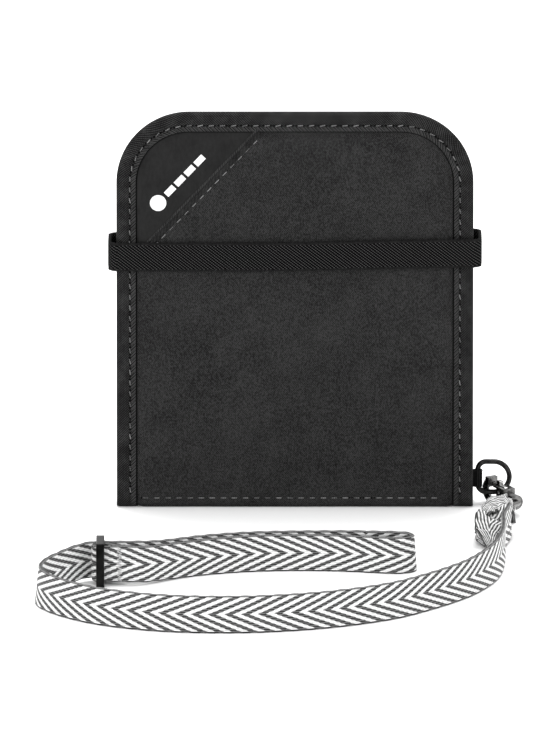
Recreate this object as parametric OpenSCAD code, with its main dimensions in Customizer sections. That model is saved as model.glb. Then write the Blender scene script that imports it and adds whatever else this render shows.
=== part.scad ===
// Travel organiser wallet: two stiffened covers that fold on a soft spine, held shut by an elastic
// band, with a herringbone wrist strap on a swivel clip. It stands on its spine and opens upwards.
// X runs along the spine, the front cover faces -Y, and the origin is under the middle of the spine.

/* [Wallet] */
// Width of the closed wallet
wallet_w = 122; // [112:1:130]
// Height of the closed wallet
wallet_h = 140; // [132:1:150]
// Thickness of the closed wallet over both covers
wallet_t = 12.4; // [12.4:0.2:15]
// How much lower the back cover ends than the front one
back_drop = 3.5; // [0:0.5:4]
// Radius of the upper corners of the covers
corner_r = 25; // [15:1:30]
// Width of the tape bound round the edges of the covers
binding_w = 7; // [5:0.5:9]
// Thickness of the shell fabric, the linings and the binding tape
fabric_t = 0.6; // [0.5:0.05:0.7]
// Thickness of the stiffener board in each cover
board_t = 1; // [0.8:0.1:1.2]
// Thickness of the shielding foil in each cover
foil_t = 0.3; // [0.2:0.05:0.4]

/* [Elastic band] */
// Width of the elastic band
elastic_w = 10; // [8:0.5:14]
// Thickness of the elastic band
elastic_t = 1.1; // [0.8:0.1:1.4]
// Height of the middle of the elastic band
elastic_z = 89.5; // [60:0.5:100]

/* [Pockets] */
// Height of the middle of the zip
zip_z = 103; // [101:1:108]
// Length of the zip
zip_len = 92; // [80:1:94]
// Height of the top edge of the passport pocket
passport_top = 114; // [108:1:114]
// Width of the card pockets
card_w = 92; // [90:1:100]
// Height that each card pocket stands above the one in front of it
card_step = 14; // [10:1:14]

/* [Ring and clip] */
// Diameter of the ring wire
ring_wire = 1.8; // [1.6:0.1:2]
// Height of the D-ring over its wire
ring_h = 12.6; // [12.4:0.1:13]
// Length of the straight legs of the D-ring
ring_leg = 5.4; // [5:0.1:6]

/* [Wrist strap] */
// Width of the webbing
webbing_w = 12.7; // [12:0.1:12.8]
// Thickness of the webbing
webbing_t = 1.3; // [1:0.1:1.4]
// Height of the strap slider
slider_h = 15.4; // [15.2:0.1:16]

/* [Hidden] */
$fn = 48;

// Covers: a depth is measured from the outer face of a cover towards the middle of the wallet.
fold_z = 2;
fold_gap = 0.3;
cover_z = fold_z + fold_gap;
web_t = 0.8;
board_inset = 3;
board_z = 5;
shell_d = fabric_t;
board_d = shell_d + fabric_t;
foil_d = board_d + board_t;
lining_d = foil_d + foil_t;
inner_d = lining_d + fabric_t;
flange_d = inner_d + fabric_t;

// Corner patch: a triangle in the upper corner, closed by a folded band.
patch_x = 42;
patch_z = 44.5;
patch_t = 0.4;
patch_band_w = 3;
mark_off = 8.2;
mark_dot = -11.3;
mark_dot_r = 2.8;
mark_from = -7.3;
mark_bars = 4;
mark_len = 3.9;
mark_w = 2.2;
mark_pitch = 4.9;
mark_t = 0.15;

// Elastic band, which bows clear of the bound edges.
elastic_gap = 0.3;
elastic_bow = 1.7;
elastic_r = 3;

// Pockets
pocket_inset = 8;
pocket_z = 7;
seam_w = 2;
zip_pocket_rise = 14;
zip_pocket_top = zip_z + zip_pocket_rise;
zip_space = 0.9;
zip_window = 10;
tape_w = 7.5;
tape_gap = 1;
tape_past = 2;
teeth_w = 2;
teeth_t = 0.9;
teeth_gap = 0.2;
teeth_in = 1;
stop_t = 0.4;
stop_len = 1.2;
stop_in = 2;
zip_d = inner_d + zip_space;
slider_len = 8;
slider_half = 3.3;
slider_wall = 0.8;
plate_clear = 0.2;
wall_clear = 0.3;
slider_plate_d = zip_d + teeth_t + plate_clear;
slider_plate_t = 0.6;
slider_from_end = 9;
slider_start = slider_from_end - zip_len / 2;
stud_r = 0.8;
rivet_clear = 0.1;
rivet_t = 0.3;
rivet_lip = 0.7;
pull_clear = 0.15;
pull_len = 15;
pull_w = 4;
pull_t = 0.5;
pull_d = slider_plate_d + slider_plate_t + pull_clear;
passport_space = 0.6;
passport_d = inner_d + passport_space + fabric_t;
card_z = 8;
card_rise = 84;
card_tops = [for (i = [0:2]) card_z + card_rise - i * card_step];
card_layer = 0.3;

// D-ring: a straight bar in the tab, two legs and a half circle.
tab_reach = 1.7;
bar_x = wallet_w / 2 + tab_reach;
tab_z = 6.5;
tab_top = 12.2;
tab_tail = 6;
tab_foot_z = fold_z - fabric_t;
tab_lap = 0.1;
bore_clear = 0.1;
tab_bore_r = ring_wire / 2 + bore_clear;
ring_r = (ring_h - ring_wire) / 2;
leg_z = 4;
ring_z = leg_z + ring_r;
ring_corner = 2.8;

// Swivel clip, along its own +X axis from the barrel to the bow, which grips the ring's lower leg.
grip_x = 66.9;
clip_z = 4.7;
clip_turn = 119;
clip_grip = 18.3;
bow_r = 3.2;
bow_wire = 1.25;
bow_x = 18;
block_x = 5.5;
block_len = 4.5;
block_h = 7.2;
block_w = 4.6;
barrel_r = 2.6;
post_r = 0.9;
head_r = 1.6;
head_u = 1.8;
head_len = 2;
swivel_gap = 0.1;
gate_x = 8.4;
gate_v = 1.9;
gate_slot = 2.6;
gate_t = 1.5;
gate_tip = 16.1;
pin_r = 0.6;
gate_knuckle = 1.5;
gate_clear = 0.1;
gate_bar_h = 1.7;
gate_bar_drop = 0.2;
thumb_x = 2.6;
thumb_len = 2.4;
thumb_h = 1.6;
nose_w = 3.8;
nose_h = 3.4;
nose_v = 1.7;
nose_gap = 0.3;
lap = 0.5;
slot_floor = 0.8;
spring_wire = 0.3;
spring_turns = 2;
spring_pitch = 0.35;
eye_r = 4;
eye_wire = 1;
eye_at = [70.5, -23.5, clip_z];
stub_u = -1.2;
stub_from = [grip_x, 0, clip_z] + (stub_u - clip_grip) * [cos(clip_turn), sin(clip_turn), 0];
stub_to = eye_at + eye_r * (stub_from - eye_at) / norm(stub_from - eye_at);

// Hitch: the webbing turns round the eye, widens and folds back on itself.
hitch_r = 1.7;
hitch_w = 4;
hitch_y = eye_at[1] - eye_r;
hitch_end = -58;
slice_t = 0.2;
// Cross-sections of the folded webbing: its near side, left, right, lowest and highest.
hitch_under = [hitch_y - 5, 65.5, 73, 0.4, 3];
hitch_over = [hitch_y - 5, 65.5, 73, 6.5, 9];
hitch_slices = [[hitch_y - 5, 65.5, 73, 0.4, 9], [hitch_y - 12, 62, 73.5, 0.2, 9.5],
    [hitch_end + 8, 62.5, 73.5, 0.2, 9.5], [hitch_end, 65, 73, 0.2, 9]];

// Route of the webbing's lower edge, from the hitch, round the front and through the slider, along
// the back of the wrist loop and round its closed end.
strap_route = [[71, -57, 0], [71, -66, 0], [70.5, -77.5, 0], [69, -89, 0], [66, -100, 0],
    [60, -113, 0], [53, -123, 0], [45, -132, 0], [35, -141.5, 0], [23, -148.8, 0],
    [10, -154.3, 0], [-3, -157.8, 0], [-17, -159.8, 0], [-32, -159.8, 0], [-46, -157.8, 0],
    [-58, -153.8, 0], [-68, -148.6, 0], [-76, -142, 0], [-82, -135, 0], [-85.8, -128, 0],
    [-86.6, -120.5, 0], [-84.4, -113, 0.1], [-80, -106.6, 0.4], [-75, -101, 0.9],
    [-70, -97.4, 1.25], [-66, -96.6, 1.3], [-62, -96.5, 1.3], [-54, -96.2, 1.25],
    [-47, -94, 0.8], [-40, -89.5, 0.3], [-31, -84.5, 0],
    [-18, -81, 0],
    [-4, -79.5, 0], [10, -79, 0], [24, -79, 0], [34, -79.5, 0], [38.5, -80.8, 0],
    [40.3, -83.6, 0], [38.5, -86.6, 0], [34, -87.6, 0]];
// Route of the front of the wrist loop, back to the fold on the slider.
loop_route = [[34, -87.6, 0], [27, -86.6, 0], [18, -85, 0], [8, -84.2, 0], [-4, -84.2, 0],
    [-17, -85.6, 0], [-29, -89, 0], [-38, -93, 0.1], [-45, -97.6, 0.5], [-51, -101.4, 0.9],
    [-56.6, -102.2, 1.3]];
// Route of the sewn end, folded round the middle bar of the slider.
fold_route = [[-57, -102.25, 1.3], [-60, -102.25, 1.3], [-65, -102.25, 1.3], [-67.6, -101.8, 1.3],
    [-68.25, -100.2, 1.3], [-67.5, -98.6, 1.3], [-65, -98.4, 1.3], [-63, -99.1, 1.3],
    [-61, -100.4, 1.3], [-59.5, -100.85, 1.3], [-57.5, -100.85, 1.3]];
route_steps = 2;

// Strap slider: three upright bars between two rails, at right angles to the webbing.
slider_x = -66;
slider_bar = 1.6;
slider_slot = 3.4;
slider_deep = 3 * slider_bar + 2 * slider_slot;
slider_rail = 1.2;
slider_thick = 2.8;
slider_y = -99.8;
tack_x = -59.5;
tack_y = -102.9;
tack_z = 1.7;
tack_w = 1.4;
tack_t = 0.3;
tack_short = 0.8;

// Outline of a cover in the X-Z plane, drawn in by an inset at its sides and top.
// A drop lowers its upper edge.
module cover_outline(inset, bottom, drop = 0) {
    half = wallet_w / 2 - inset;
    top = wallet_h - drop - inset;
    r = corner_r - inset;
    translate([-half, bottom])
        square([2 * half, top - r - bottom]);
    translate([r - half, bottom])
        square([2 * (half - r), top - bottom]);
    for (s = [-1, 1])
        translate([s * (half - r), top - r])
            circle(r, $fn = 96);
}

// Stands a flat outline up between two depths, measured from the front face.
module layer(from, to) {
    translate([0, to - wallet_t / 2, 0])
        rotate([90, 0, 0])
            linear_extrude(to - from)
                children();
}

// The back cover is laid up as the mirror image of the front one.
module at_back() {
    mirror([0, 1, 0])
        children();
}

// A straight round bar between two points.
module rod(from, to, r) {
    run = to - from;
    turn = atan2(run[1], run[0]);
    tilt = acos(run[2] / norm(run));
    translate(from)
        rotate([0, tilt, turn])
            cylinder(r = r, h = norm(run));
}

// ---- Covers ----

module cover_shell(drop = 0) {
    layer(shell_d, board_d)
        cover_outline(web_t, cover_z, drop);
}

module cover_board(drop = 0) {
    layer(board_d, foil_d)
        cover_outline(board_inset, board_z, drop);
}

module cover_foil(drop = 0) {
    layer(foil_d, lining_d)
        cover_outline(board_inset, board_z, drop);
}

module cover_lining(drop = 0) {
    layer(lining_d, inner_d)
        cover_outline(web_t, cover_z, drop);
}

module binding_ring(inset, drop) {
    difference() {
        cover_outline(0, cover_z, drop);
        cover_outline(inset, cover_z - 1, drop);
    }
}

module cover_binding(drop = 0) {
    layer(0, shell_d)
        binding_ring(binding_w, drop);
    layer(0, flange_d)
        binding_ring(web_t, drop);
    layer(inner_d, flange_d)
        binding_ring(binding_w, drop);
}

module front_shell() {
    color("#2b2b2d")
        cover_shell();
}

module front_board() {
    color("#9a9484")
        cover_board();
}

module front_foil() {
    color("#b9bcc0")
        cover_foil();
}

module front_lining() {
    color("#55585c")
        cover_lining();
}

module front_binding() {
    color("#1b1b1c")
        cover_binding();
}

module back_shell() {
    color("#2b2b2d")
        at_back()
            cover_shell(back_drop);
}

module back_board() {
    color("#9a9484")
        at_back()
            cover_board(back_drop);
}

module back_foil() {
    color("#b9bcc0")
        at_back()
            cover_foil(back_drop);
}

module back_lining() {
    color("#55585c")
        at_back()
            cover_lining(back_drop);
}

module back_binding() {
    color("#1b1b1c")
        at_back()
            cover_binding(back_drop);
}

// ---- Corner patch ----

patch_left = binding_w - wallet_w / 2;
patch_top = wallet_h - binding_w;

module patch_corner() {
    intersection() {
        cover_outline(binding_w, cover_z);
        polygon([[patch_left, patch_top], [patch_left, patch_top - patch_z],
            [patch_left + patch_x, patch_top]]);
    }
}

// Moves to the middle of the patch's slanting edge, with +X along it and up.
module on_slant() {
    translate([patch_left + patch_x / 2, patch_top - patch_z / 2])
        rotate(atan2(patch_z, patch_x))
            children();
}

module slant_strip() {
    intersection() {
        cover_outline(binding_w, cover_z);
        on_slant()
            translate([-patch_z, -patch_band_w / 2])
                square([2 * patch_z, patch_band_w]);
    }
}

module corner_patch() {
    color("#202022")
        layer(shell_d - patch_t, shell_d)
            difference() {
                patch_corner();
                slant_strip();
            }
}

module patch_band() {
    color("#29292b")
        layer(0, shell_d)
            slant_strip();
}

module printed_mark() {
    color("#f2f2f0")
        layer(shell_d - patch_t - mark_t, shell_d - patch_t)
            on_slant() {
                translate([mark_dot, mark_off])
                    circle(mark_dot_r);
                for (i = [0:mark_bars - 1])
                    translate([mark_from + i * mark_pitch, mark_off - mark_w / 2])
                        square([mark_len, mark_w]);
            }
}

// ---- Spine ----

module spine_outline(inset) {
    half = wallet_w / 2 - inset;
    intersection() {
        union() {
            translate([fold_z - half, 0])
                square([2 * (half - fold_z), fold_z]);
            for (s = [-1, 1])
                translate([s * (half - fold_z), fold_z])
                    circle(fold_z);
        }
        translate([-half, 0])
            square([2 * half, fold_z]);
    }
}

module spine_shell() {
    color("#2b2b2d")
        difference() {
            layer(0, wallet_t)
                spine_outline(fabric_t);
            translate([-wallet_w / 2, fabric_t - wallet_t / 2, fabric_t])
                cube([wallet_w, wallet_t - 2 * fabric_t, fold_z]);
        }
}

module spine_lining() {
    color("#55585c")
        translate([binding_w - wallet_w / 2, fabric_t - wallet_t / 2, fabric_t])
            cube([wallet_w - 2 * binding_w, wallet_t - 2 * fabric_t, fabric_t]);
}

module spine_binding() {
    inside = wallet_t - 2 * fabric_t;
    color("#1b1b1c") {
        difference() {
            layer(0, wallet_t)
                spine_outline(0);
            layer(-lap, wallet_t + lap)
                spine_outline(fabric_t);
            translate([-wallet_w, -inside / 2, fold_z - fabric_t])
                cube([2 * wallet_w, inside, fold_z]);
        }
        for (s = [-1, 1])
            translate([s * (wallet_w - binding_w - fabric_t) / 2 - (binding_w - fabric_t) / 2,
                -inside / 2, fabric_t])
                cube([binding_w - fabric_t, inside, fabric_t]);
    }
}

// ---- Elastic band ----

module band_outline(half_w, half_t, r) {
    translate([r - half_w, -half_t])
        square([2 * (half_w - r), 2 * half_t]);
    translate([-half_w, r - half_t])
        square([2 * half_w, 2 * (half_t - r)]);
    for (x = [-1, 1], y = [-1, 1])
        translate([x * (half_w - r), y * (half_t - r)])
            circle(r);
}

module elastic_band() {
    half_w = wallet_w / 2 + elastic_bow;
    half_t = wallet_t / 2 + elastic_gap;
    color("#161617")
        translate([0, 0, elastic_z - elastic_w / 2])
            linear_extrude(elastic_w)
                difference() {
                    band_outline(half_w + elastic_t, half_t + elastic_t, elastic_r);
                    band_outline(half_w, half_t, elastic_r - elastic_t);
                }
}

// ---- Zip pocket on the front cover's lining ----

// A flat pocket: a seam round its sides and floor carries the panel over the space inside.
module pocket(half, bottom, top, from, space, cloth) {
    layer(from + space, from + space + cloth)
        translate([-half, bottom])
            square([2 * half, top - bottom]);
    layer(from, from + space)
        difference() {
            translate([-half, bottom])
                square([2 * half, top - bottom]);
            translate([seam_w - half, bottom + seam_w])
                square([2 * (half - seam_w), top - bottom]);
        }
}

module zip_pocket() {
    half = wallet_w / 2 - pocket_inset;
    color("#3c3f43") {
        difference() {
            pocket(half, pocket_z, zip_pocket_top, inner_d, zip_space, fabric_t);
            layer(zip_d - lap, zip_d + fabric_t + lap)
                translate([-zip_len / 2, zip_z - zip_window / 2])
                    square([zip_len, zip_window]);
        }
        layer(inner_d, zip_d)
            translate([seam_w - half, zip_pocket_top - seam_w])
                square([2 * (half - seam_w), seam_w]);
    }
}

module zip_tape(side) {
    layer(zip_d - fabric_t, zip_d)
        translate([-zip_len / 2 - tape_past, zip_z + side * (tape_gap + tape_w) / 2 - tape_w / 2])
            square([zip_len + 2 * tape_past, tape_w]);
}

module zip_teeth(side) {
    layer(zip_d, zip_d + teeth_t)
        translate([teeth_in - zip_len / 2, zip_z + side * (teeth_gap + teeth_w) / 2 - teeth_w / 2])
            square([zip_len - 2 * teeth_in, teeth_w]);
}

module zip_tape_upper() {
    color("#232426")
        zip_tape(1);
}

module zip_tape_lower() {
    color("#232426")
        zip_tape(-1);
}

module zip_teeth_upper() {
    color("#18191a")
        zip_teeth(1);
}

module zip_teeth_lower() {
    color("#18191a")
        zip_teeth(-1);
}

// Stops that bridge both rows of teeth at the ends of the zip.
module zip_stops() {
    color("#4b4e52")
        for (s = [-1, 1])
            layer(zip_d + teeth_t, zip_d + teeth_t + stop_t)
                translate([s * (zip_len / 2 - stop_in) - stop_len / 2, zip_z - teeth_w])
                    square([stop_len, 2 * teeth_w]);
}

module zip_slider() {
    rivet_d = pull_d + pull_t + rivet_clear;
    wall_z = slider_half - slider_wall / 2;
    color("#3a3c40")
        translate([slider_start, 0, 0]) {
            layer(slider_plate_d, slider_plate_d + slider_plate_t)
                translate([-slider_len / 2, zip_z - slider_half])
                    square([slider_len, 2 * slider_half]);
            for (s = [-1, 1])
                layer(zip_d + wall_clear, slider_plate_d)
                    translate([-slider_len / 2, zip_z + s * wall_z - slider_wall / 2])
                        square([slider_len, slider_wall]);
            layer(slider_plate_d + slider_plate_t, rivet_d)
                translate([0, zip_z])
                    circle(stud_r);
            layer(rivet_d, rivet_d + rivet_t)
                translate([0, zip_z])
                    circle(stud_r + rivet_lip);
        }
}

module zip_pull() {
    color("#2a2b2e")
        translate([slider_start, 0, 0])
            layer(pull_d, pull_d + pull_t)
                difference() {
                    union() {
                        translate([0, zip_z])
                            circle(pull_w / 2);
                        translate([-pull_w / 2, zip_z + pull_w - pull_len])
                            square([pull_w, pull_len - pull_w]);
                        translate([0, zip_z + pull_w - pull_len])
                            circle(pull_w / 2);
                    }
                    translate([0, zip_z])
                        circle(stud_r + rivet_clear);
                    translate([0, zip_z + pull_w - pull_len])
                        circle(pull_w / 4);
                }
}

// ---- Pockets on the back cover's lining ----

module passport_pocket() {
    half = wallet_w / 2 - pocket_inset;
    color("#3c3f43")
        at_back()
            pocket(half, pocket_z, passport_top, inner_d, passport_space, fabric_t);
}

module card_pocket(i) {
    lift = passport_d + 2 * i * card_layer;
    at_back()
        pocket(card_w / 2, card_z, card_tops[i], lift, card_layer, card_layer);
}

module card_pocket_rear() {
    color("#474a4f")
        card_pocket(0);
}

module card_pocket_middle() {
    color("#4b4e53")
        card_pocket(1);
}

module card_pocket_front() {
    color("#4f5257")
        card_pocket(2);
}

// ---- Tab and D-ring ----

module ring_tab() {
    color("#1b1b1c")
        difference() {
            union() {
                translate([bar_x, 0, tab_z])
                    cylinder(r = tab_bore_r + fabric_t, h = tab_top - tab_z);
                translate([wallet_w / 2 - tab_lap, -fabric_t, tab_z])
                    cube([bar_x - wallet_w / 2, 2 * fabric_t, tab_top - tab_z]);
                translate([wallet_w / 2 - tab_tail, -fabric_t, tab_foot_z])
                    cube([tab_tail, 2 * fabric_t, tab_top - tab_foot_z]);
            }
            translate([bar_x, 0, 0])
                cylinder(r = tab_bore_r, h = 2 * tab_top);
        }
}

// A quarter turn of round bar in the X-Z plane, about a centre, starting at a given angle.
module quarter(centre, r, wire, start) {
    translate([centre[0], 0, centre[1]])
        rotate([90, 0, 0])
            rotate([0, 0, start])
                rotate_extrude(angle = 90)
                    translate([r, 0])
                        circle(wire);
}

module d_ring() {
    wire = ring_wire / 2;
    bar_half = ring_r - ring_corner;
    color("#1c1c1e") {
        rod([bar_x, 0, ring_z - bar_half], [bar_x, 0, ring_z + bar_half], wire);
        quarter([bar_x + ring_corner, ring_z + bar_half], ring_corner, wire, 90);
        quarter([bar_x + ring_corner, ring_z - bar_half], ring_corner, wire, 180);
        for (z = [ring_z - ring_r, ring_z + ring_r])
            rod([bar_x + ring_corner, 0, z], [bar_x + ring_leg, 0, z], wire);
        quarter([bar_x + ring_leg, ring_z], ring_r, wire, 0);
        quarter([bar_x + ring_leg, ring_z], ring_r, wire, 270);
    }
}

// ---- Swivel clip ----

module on_clip() {
    translate([grip_x, 0, clip_z])
        rotate([0, 0, clip_turn])
            translate([-clip_grip, 0, 0])
                children();
}

module clip_hook() {
    block_end = block_x + block_len;
    color("#2d2e31")
        on_clip() {
            difference() {
                union() {
                    rotate([0, 90, 0])
                        cylinder(r = barrel_r, h = block_x);
                    translate([block_x - lap, -block_w / 2, -block_h / 2])
                        cube([block_len + lap, block_w, block_h]);
                    rod([block_end - lap, 0, -bow_r], [bow_x, 0, -bow_r], bow_wire);
                }
                translate([-lap, 0, 0])
                    rotate([0, 90, 0])
                        cylinder(r = post_r + swivel_gap, h = head_u + lap);
                translate([head_u - swivel_gap, 0, 0])
                    rotate([0, 90, 0])
                        cylinder(r = head_r + swivel_gap, h = head_len + 3 * swivel_gap);
                translate([block_x + slot_floor, -gate_slot / 2, -gate_slot / 2])
                    cube([block_len, gate_slot, block_h]);
                translate([gate_x, block_w, gate_v])
                    rotate([90, 0, 0])
                        cylinder(r = pin_r, h = 2 * block_w);
            }
            quarter([bow_x, 0], bow_r, bow_wire, 270);
            quarter([bow_x, 0], bow_r, bow_wire, 0);
            translate([gate_tip + nose_gap, -nose_w / 2, nose_v])
                cube([bow_x - gate_tip, nose_w, nose_h]);
        }
}

module clip_gate() {
    from = -gate_slot / 2 + gate_clear;
    color("#55575b")
        on_clip()
            difference() {
                union() {
                    translate([gate_x, from + gate_t, gate_v])
                        rotate([90, 0, 0])
                            cylinder(r = gate_knuckle, h = gate_t);
                    translate([gate_x, from, gate_v - gate_bar_drop])
                        cube([gate_tip - gate_x, gate_t, gate_bar_h]);
                    translate([gate_x + thumb_x, from, gate_v + gate_bar_h - 2 * gate_bar_drop])
                        cube([thumb_len, gate_t, thumb_h]);
                }
                translate([gate_x, block_w, gate_v])
                    rotate([90, 0, 0])
                        cylinder(r = pin_r + gate_clear, h = 2 * block_w);
            }
}

module gate_pin() {
    color("#8a8c90")
        on_clip()
            translate([gate_x, block_w / 2, gate_v])
                rotate([90, 0, 0])
                    cylinder(r = pin_r, h = block_w);
}

// The coils of the torsion spring beside the gate, round the pin.
module gate_spring() {
    first = gate_slot / 2 - gate_clear - spring_wire / 2;
    color("#b0b2b5")
        on_clip()
            for (i = [0:spring_turns - 1])
                translate([gate_x, first - i * spring_pitch, gate_v])
                    rotate([90, 0, 0])
                        rotate_extrude()
                            translate([pin_r + gate_clear + spring_wire / 2, 0])
                                circle(spring_wire / 2);
}

module swivel_eye() {
    color("#6a6c70") {
        on_clip()
            rotate([0, 90, 0]) {
                translate([0, 0, stub_u])
                    cylinder(r = post_r, h = head_u - stub_u);
                translate([0, 0, head_u])
                    cylinder(r = head_r, h = head_len);
            }
        translate(stub_from)
            sphere(post_r);
        rod(stub_from, stub_to, post_r);
        translate(eye_at)
            rotate_extrude()
                translate([eye_r, 0])
                    circle(eye_wire);
    }
}

// ---- Wrist strap ----

function unit(v) = v / norm(v);

// A point on the smooth curve through b and c, with neighbours a and d.
function between(a, b, c, d, t) =
    (2 * b + (c - a) * t + (2 * a - 5 * b + 4 * c - d) * t * t
        + (3 * b - a - 3 * c + d) * t * t * t) / 2;

function smooth(route, steps) = [
    for (i = [0:len(route) - 2], k = [0:steps - 1])
        between(route[max(i - 1, 0)], route[i], route[i + 1],
            route[min(i + 2, len(route) - 1)], k / steps),
    route[len(route) - 1]];

function side_of(path, i) =
    let (run = path[min(i + 1, len(path) - 1)] - path[max(i - 1, 0)])
    unit([-run[1], run[0], 0]) * webbing_t / 2;

// Webbing that stands on its edge along a route.
module ribbon(route) {
    path = smooth(route, route_steps);
    last = len(path) - 1;
    up = [0, 0, webbing_w];
    points = [for (i = [0:last]) let (p = path[i], s = side_of(path, i))
        each [p + s, p - s, p - s + up, p + s + up]];
    sides = [for (i = [0:last - 1], j = [0:3])
        [4 * i + j, 4 * i + (j + 1) % 4, 4 * i + 4 + (j + 1) % 4, 4 * i + 4 + j]];
    polyhedron(points, concat([[3, 2, 1, 0]], sides, [[for (j = [0:3]) 4 * last + j]]));
}

module strap_webbing() {
    color("#b9b9b9")
        ribbon(strap_route);
}

module loop_front() {
    color("#b9b9b9")
        ribbon(loop_route);
}

module knot_slice(slice) {
    translate([slice[1], slice[0], slice[3]])
        cube([slice[2] - slice[1], slice_t, slice[4] - slice[3]]);
}

// The webbing leaves the turn round the eye as one of its two runs, between two heights.
module hitch_run(from_z, slice) {
    hull() {
        knot_slice([hitch_y - slice_t, eye_at[0] - hitch_w / 2, eye_at[0] + hitch_w / 2,
            from_z, from_z + webbing_t]);
        knot_slice(slice);
    }
}

module hitch_knot() {
    color("#adadad") {
        translate([eye_at[0] - hitch_w / 2, hitch_y, clip_z])
            rotate([90, 0, 90])
                rotate([0, 0, -90])
                    rotate_extrude(angle = 180)
                        translate([hitch_r, 0])
                            square([webbing_t, hitch_w]);
        hitch_run(clip_z - hitch_r - webbing_t, hitch_under);
        hitch_run(clip_z + hitch_r, hitch_over);
        hull()
            for (slice = hitch_slices)
                knot_slice(slice);
    }
}

module loop_fold() {
    color("#b9b9b9")
        ribbon(fold_route);
}

module bar_tack() {
    color("#c8c8c8")
        translate([tack_x - tack_w / 2, tack_y - tack_t, tack_z])
            cube([tack_w, tack_t, webbing_w - tack_short]);
}

module strap_slider() {
    color("#161617")
        translate([slider_x - slider_thick / 2, slider_y - slider_deep / 2, 0])
            difference() {
                cube([slider_thick, slider_deep, slider_h]);
                for (i = [0, 1])
                    translate([-1, slider_bar + i * (slider_bar + slider_slot), slider_rail])
                        cube([slider_thick + 2, slider_slot, slider_h - 2 * slider_rail]);
            }
}

spine_shell();
spine_lining();
spine_binding();
ring_tab();
front_shell();
front_board();
front_foil();
front_lining();
front_binding();
corner_patch();
patch_band();
printed_mark();
zip_pocket();
zip_tape_upper();
zip_tape_lower();
zip_teeth_upper();
zip_teeth_lower();
zip_stops();
zip_slider();
zip_pull();
back_shell();
back_board();
back_foil();
back_lining();
back_binding();
passport_pocket();
card_pocket_rear();
card_pocket_middle();
card_pocket_front();
elastic_band();
d_ring();
clip_hook();
clip_gate();
gate_pin();
gate_spring();
swivel_eye();
hitch_knot();
strap_webbing();
loop_front();
loop_fold();
bar_tack();
strap_slider();
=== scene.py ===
"""Looks of a compact bifold travel organiser with a D-ring, a clip and a herringbone strap.

Lengths are millimetres until build() makes a mesh, which is in metres. x runs along the spine
towards the ring, the front cover faces -y, z is up and the table is z = 0. A depth is measured
inwards from a cover's outer face, and an inset inwards from its outline. side is -1 for the
front cover and 1 for the back cover.
"""

import math

import bmesh
import bpy
import numpy as np
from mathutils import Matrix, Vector


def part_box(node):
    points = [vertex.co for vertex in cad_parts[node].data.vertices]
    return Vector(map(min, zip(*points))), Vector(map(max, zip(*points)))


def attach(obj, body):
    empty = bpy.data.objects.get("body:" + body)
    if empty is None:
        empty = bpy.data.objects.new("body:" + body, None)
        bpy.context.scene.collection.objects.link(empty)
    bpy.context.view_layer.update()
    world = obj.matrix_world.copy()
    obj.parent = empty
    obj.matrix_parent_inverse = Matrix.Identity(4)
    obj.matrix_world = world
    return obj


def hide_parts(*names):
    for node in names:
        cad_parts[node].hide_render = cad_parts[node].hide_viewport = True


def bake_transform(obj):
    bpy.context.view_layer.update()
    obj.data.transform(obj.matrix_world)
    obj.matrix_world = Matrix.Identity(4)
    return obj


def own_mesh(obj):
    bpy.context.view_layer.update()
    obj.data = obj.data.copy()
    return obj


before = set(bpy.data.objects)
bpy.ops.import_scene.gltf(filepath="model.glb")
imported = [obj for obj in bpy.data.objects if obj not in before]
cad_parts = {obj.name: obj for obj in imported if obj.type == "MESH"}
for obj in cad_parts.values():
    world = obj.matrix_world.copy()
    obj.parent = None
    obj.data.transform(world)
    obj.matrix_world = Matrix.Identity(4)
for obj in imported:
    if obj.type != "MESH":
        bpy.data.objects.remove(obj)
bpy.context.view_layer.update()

MM = 0.001
FRONT, BACK = -1, 1
COVERS = {FRONT: "front_cover", BACK: "back_cover"}
NAMES = {FRONT: "front", BACK: "back"}


def cad_box(node):
    """A CAD node's lowest and highest corners, in millimetres."""
    low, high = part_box(node)
    return np.array(low) / MM, np.array(high) / MM


# ---------------- camera

VIEW_AIM = (-5.1, -6.2, 47.8)  # the point in the middle of the picture
VIEW_TALL = 255.5  # height that the picture takes in at that point
VIEW_ELEVATION = math.radians(15.5)
VIEW_DISTANCE = 8500
SENSOR = 36  # the sensor's long side, which is the picture's height
CLIP_NEAR, CLIP_FAR = 0.1, 100  # metres


def place_facing(thing, place, aim):
    """Puts a camera or a light at a place, turned to another. Both are in metres."""
    bpy.context.scene.collection.objects.link(thing)
    thing.location = place
    thing.rotation_mode = "QUATERNION"
    thing.rotation_quaternion = (Vector(aim) - Vector(place)).to_track_quat("-Z", "Y")


def add_camera():
    """The photograph's view: a long lens from far away, a little above the table."""
    data = bpy.data.cameras.new("camera")
    data.sensor_width = SENSOR
    data.lens = SENSOR * VIEW_DISTANCE / VIEW_TALL
    data.clip_start, data.clip_end = CLIP_NEAR, CLIP_FAR
    camera = bpy.data.objects.new("camera", data)
    back = Vector((0, -math.cos(VIEW_ELEVATION), math.sin(VIEW_ELEVATION)))
    aim = Vector(VIEW_AIM)
    place_facing(camera, (aim + back * VIEW_DISTANCE) * MM, aim * MM)
    bpy.context.scene.camera = camera


add_camera()


# ---------------- shaders


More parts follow.
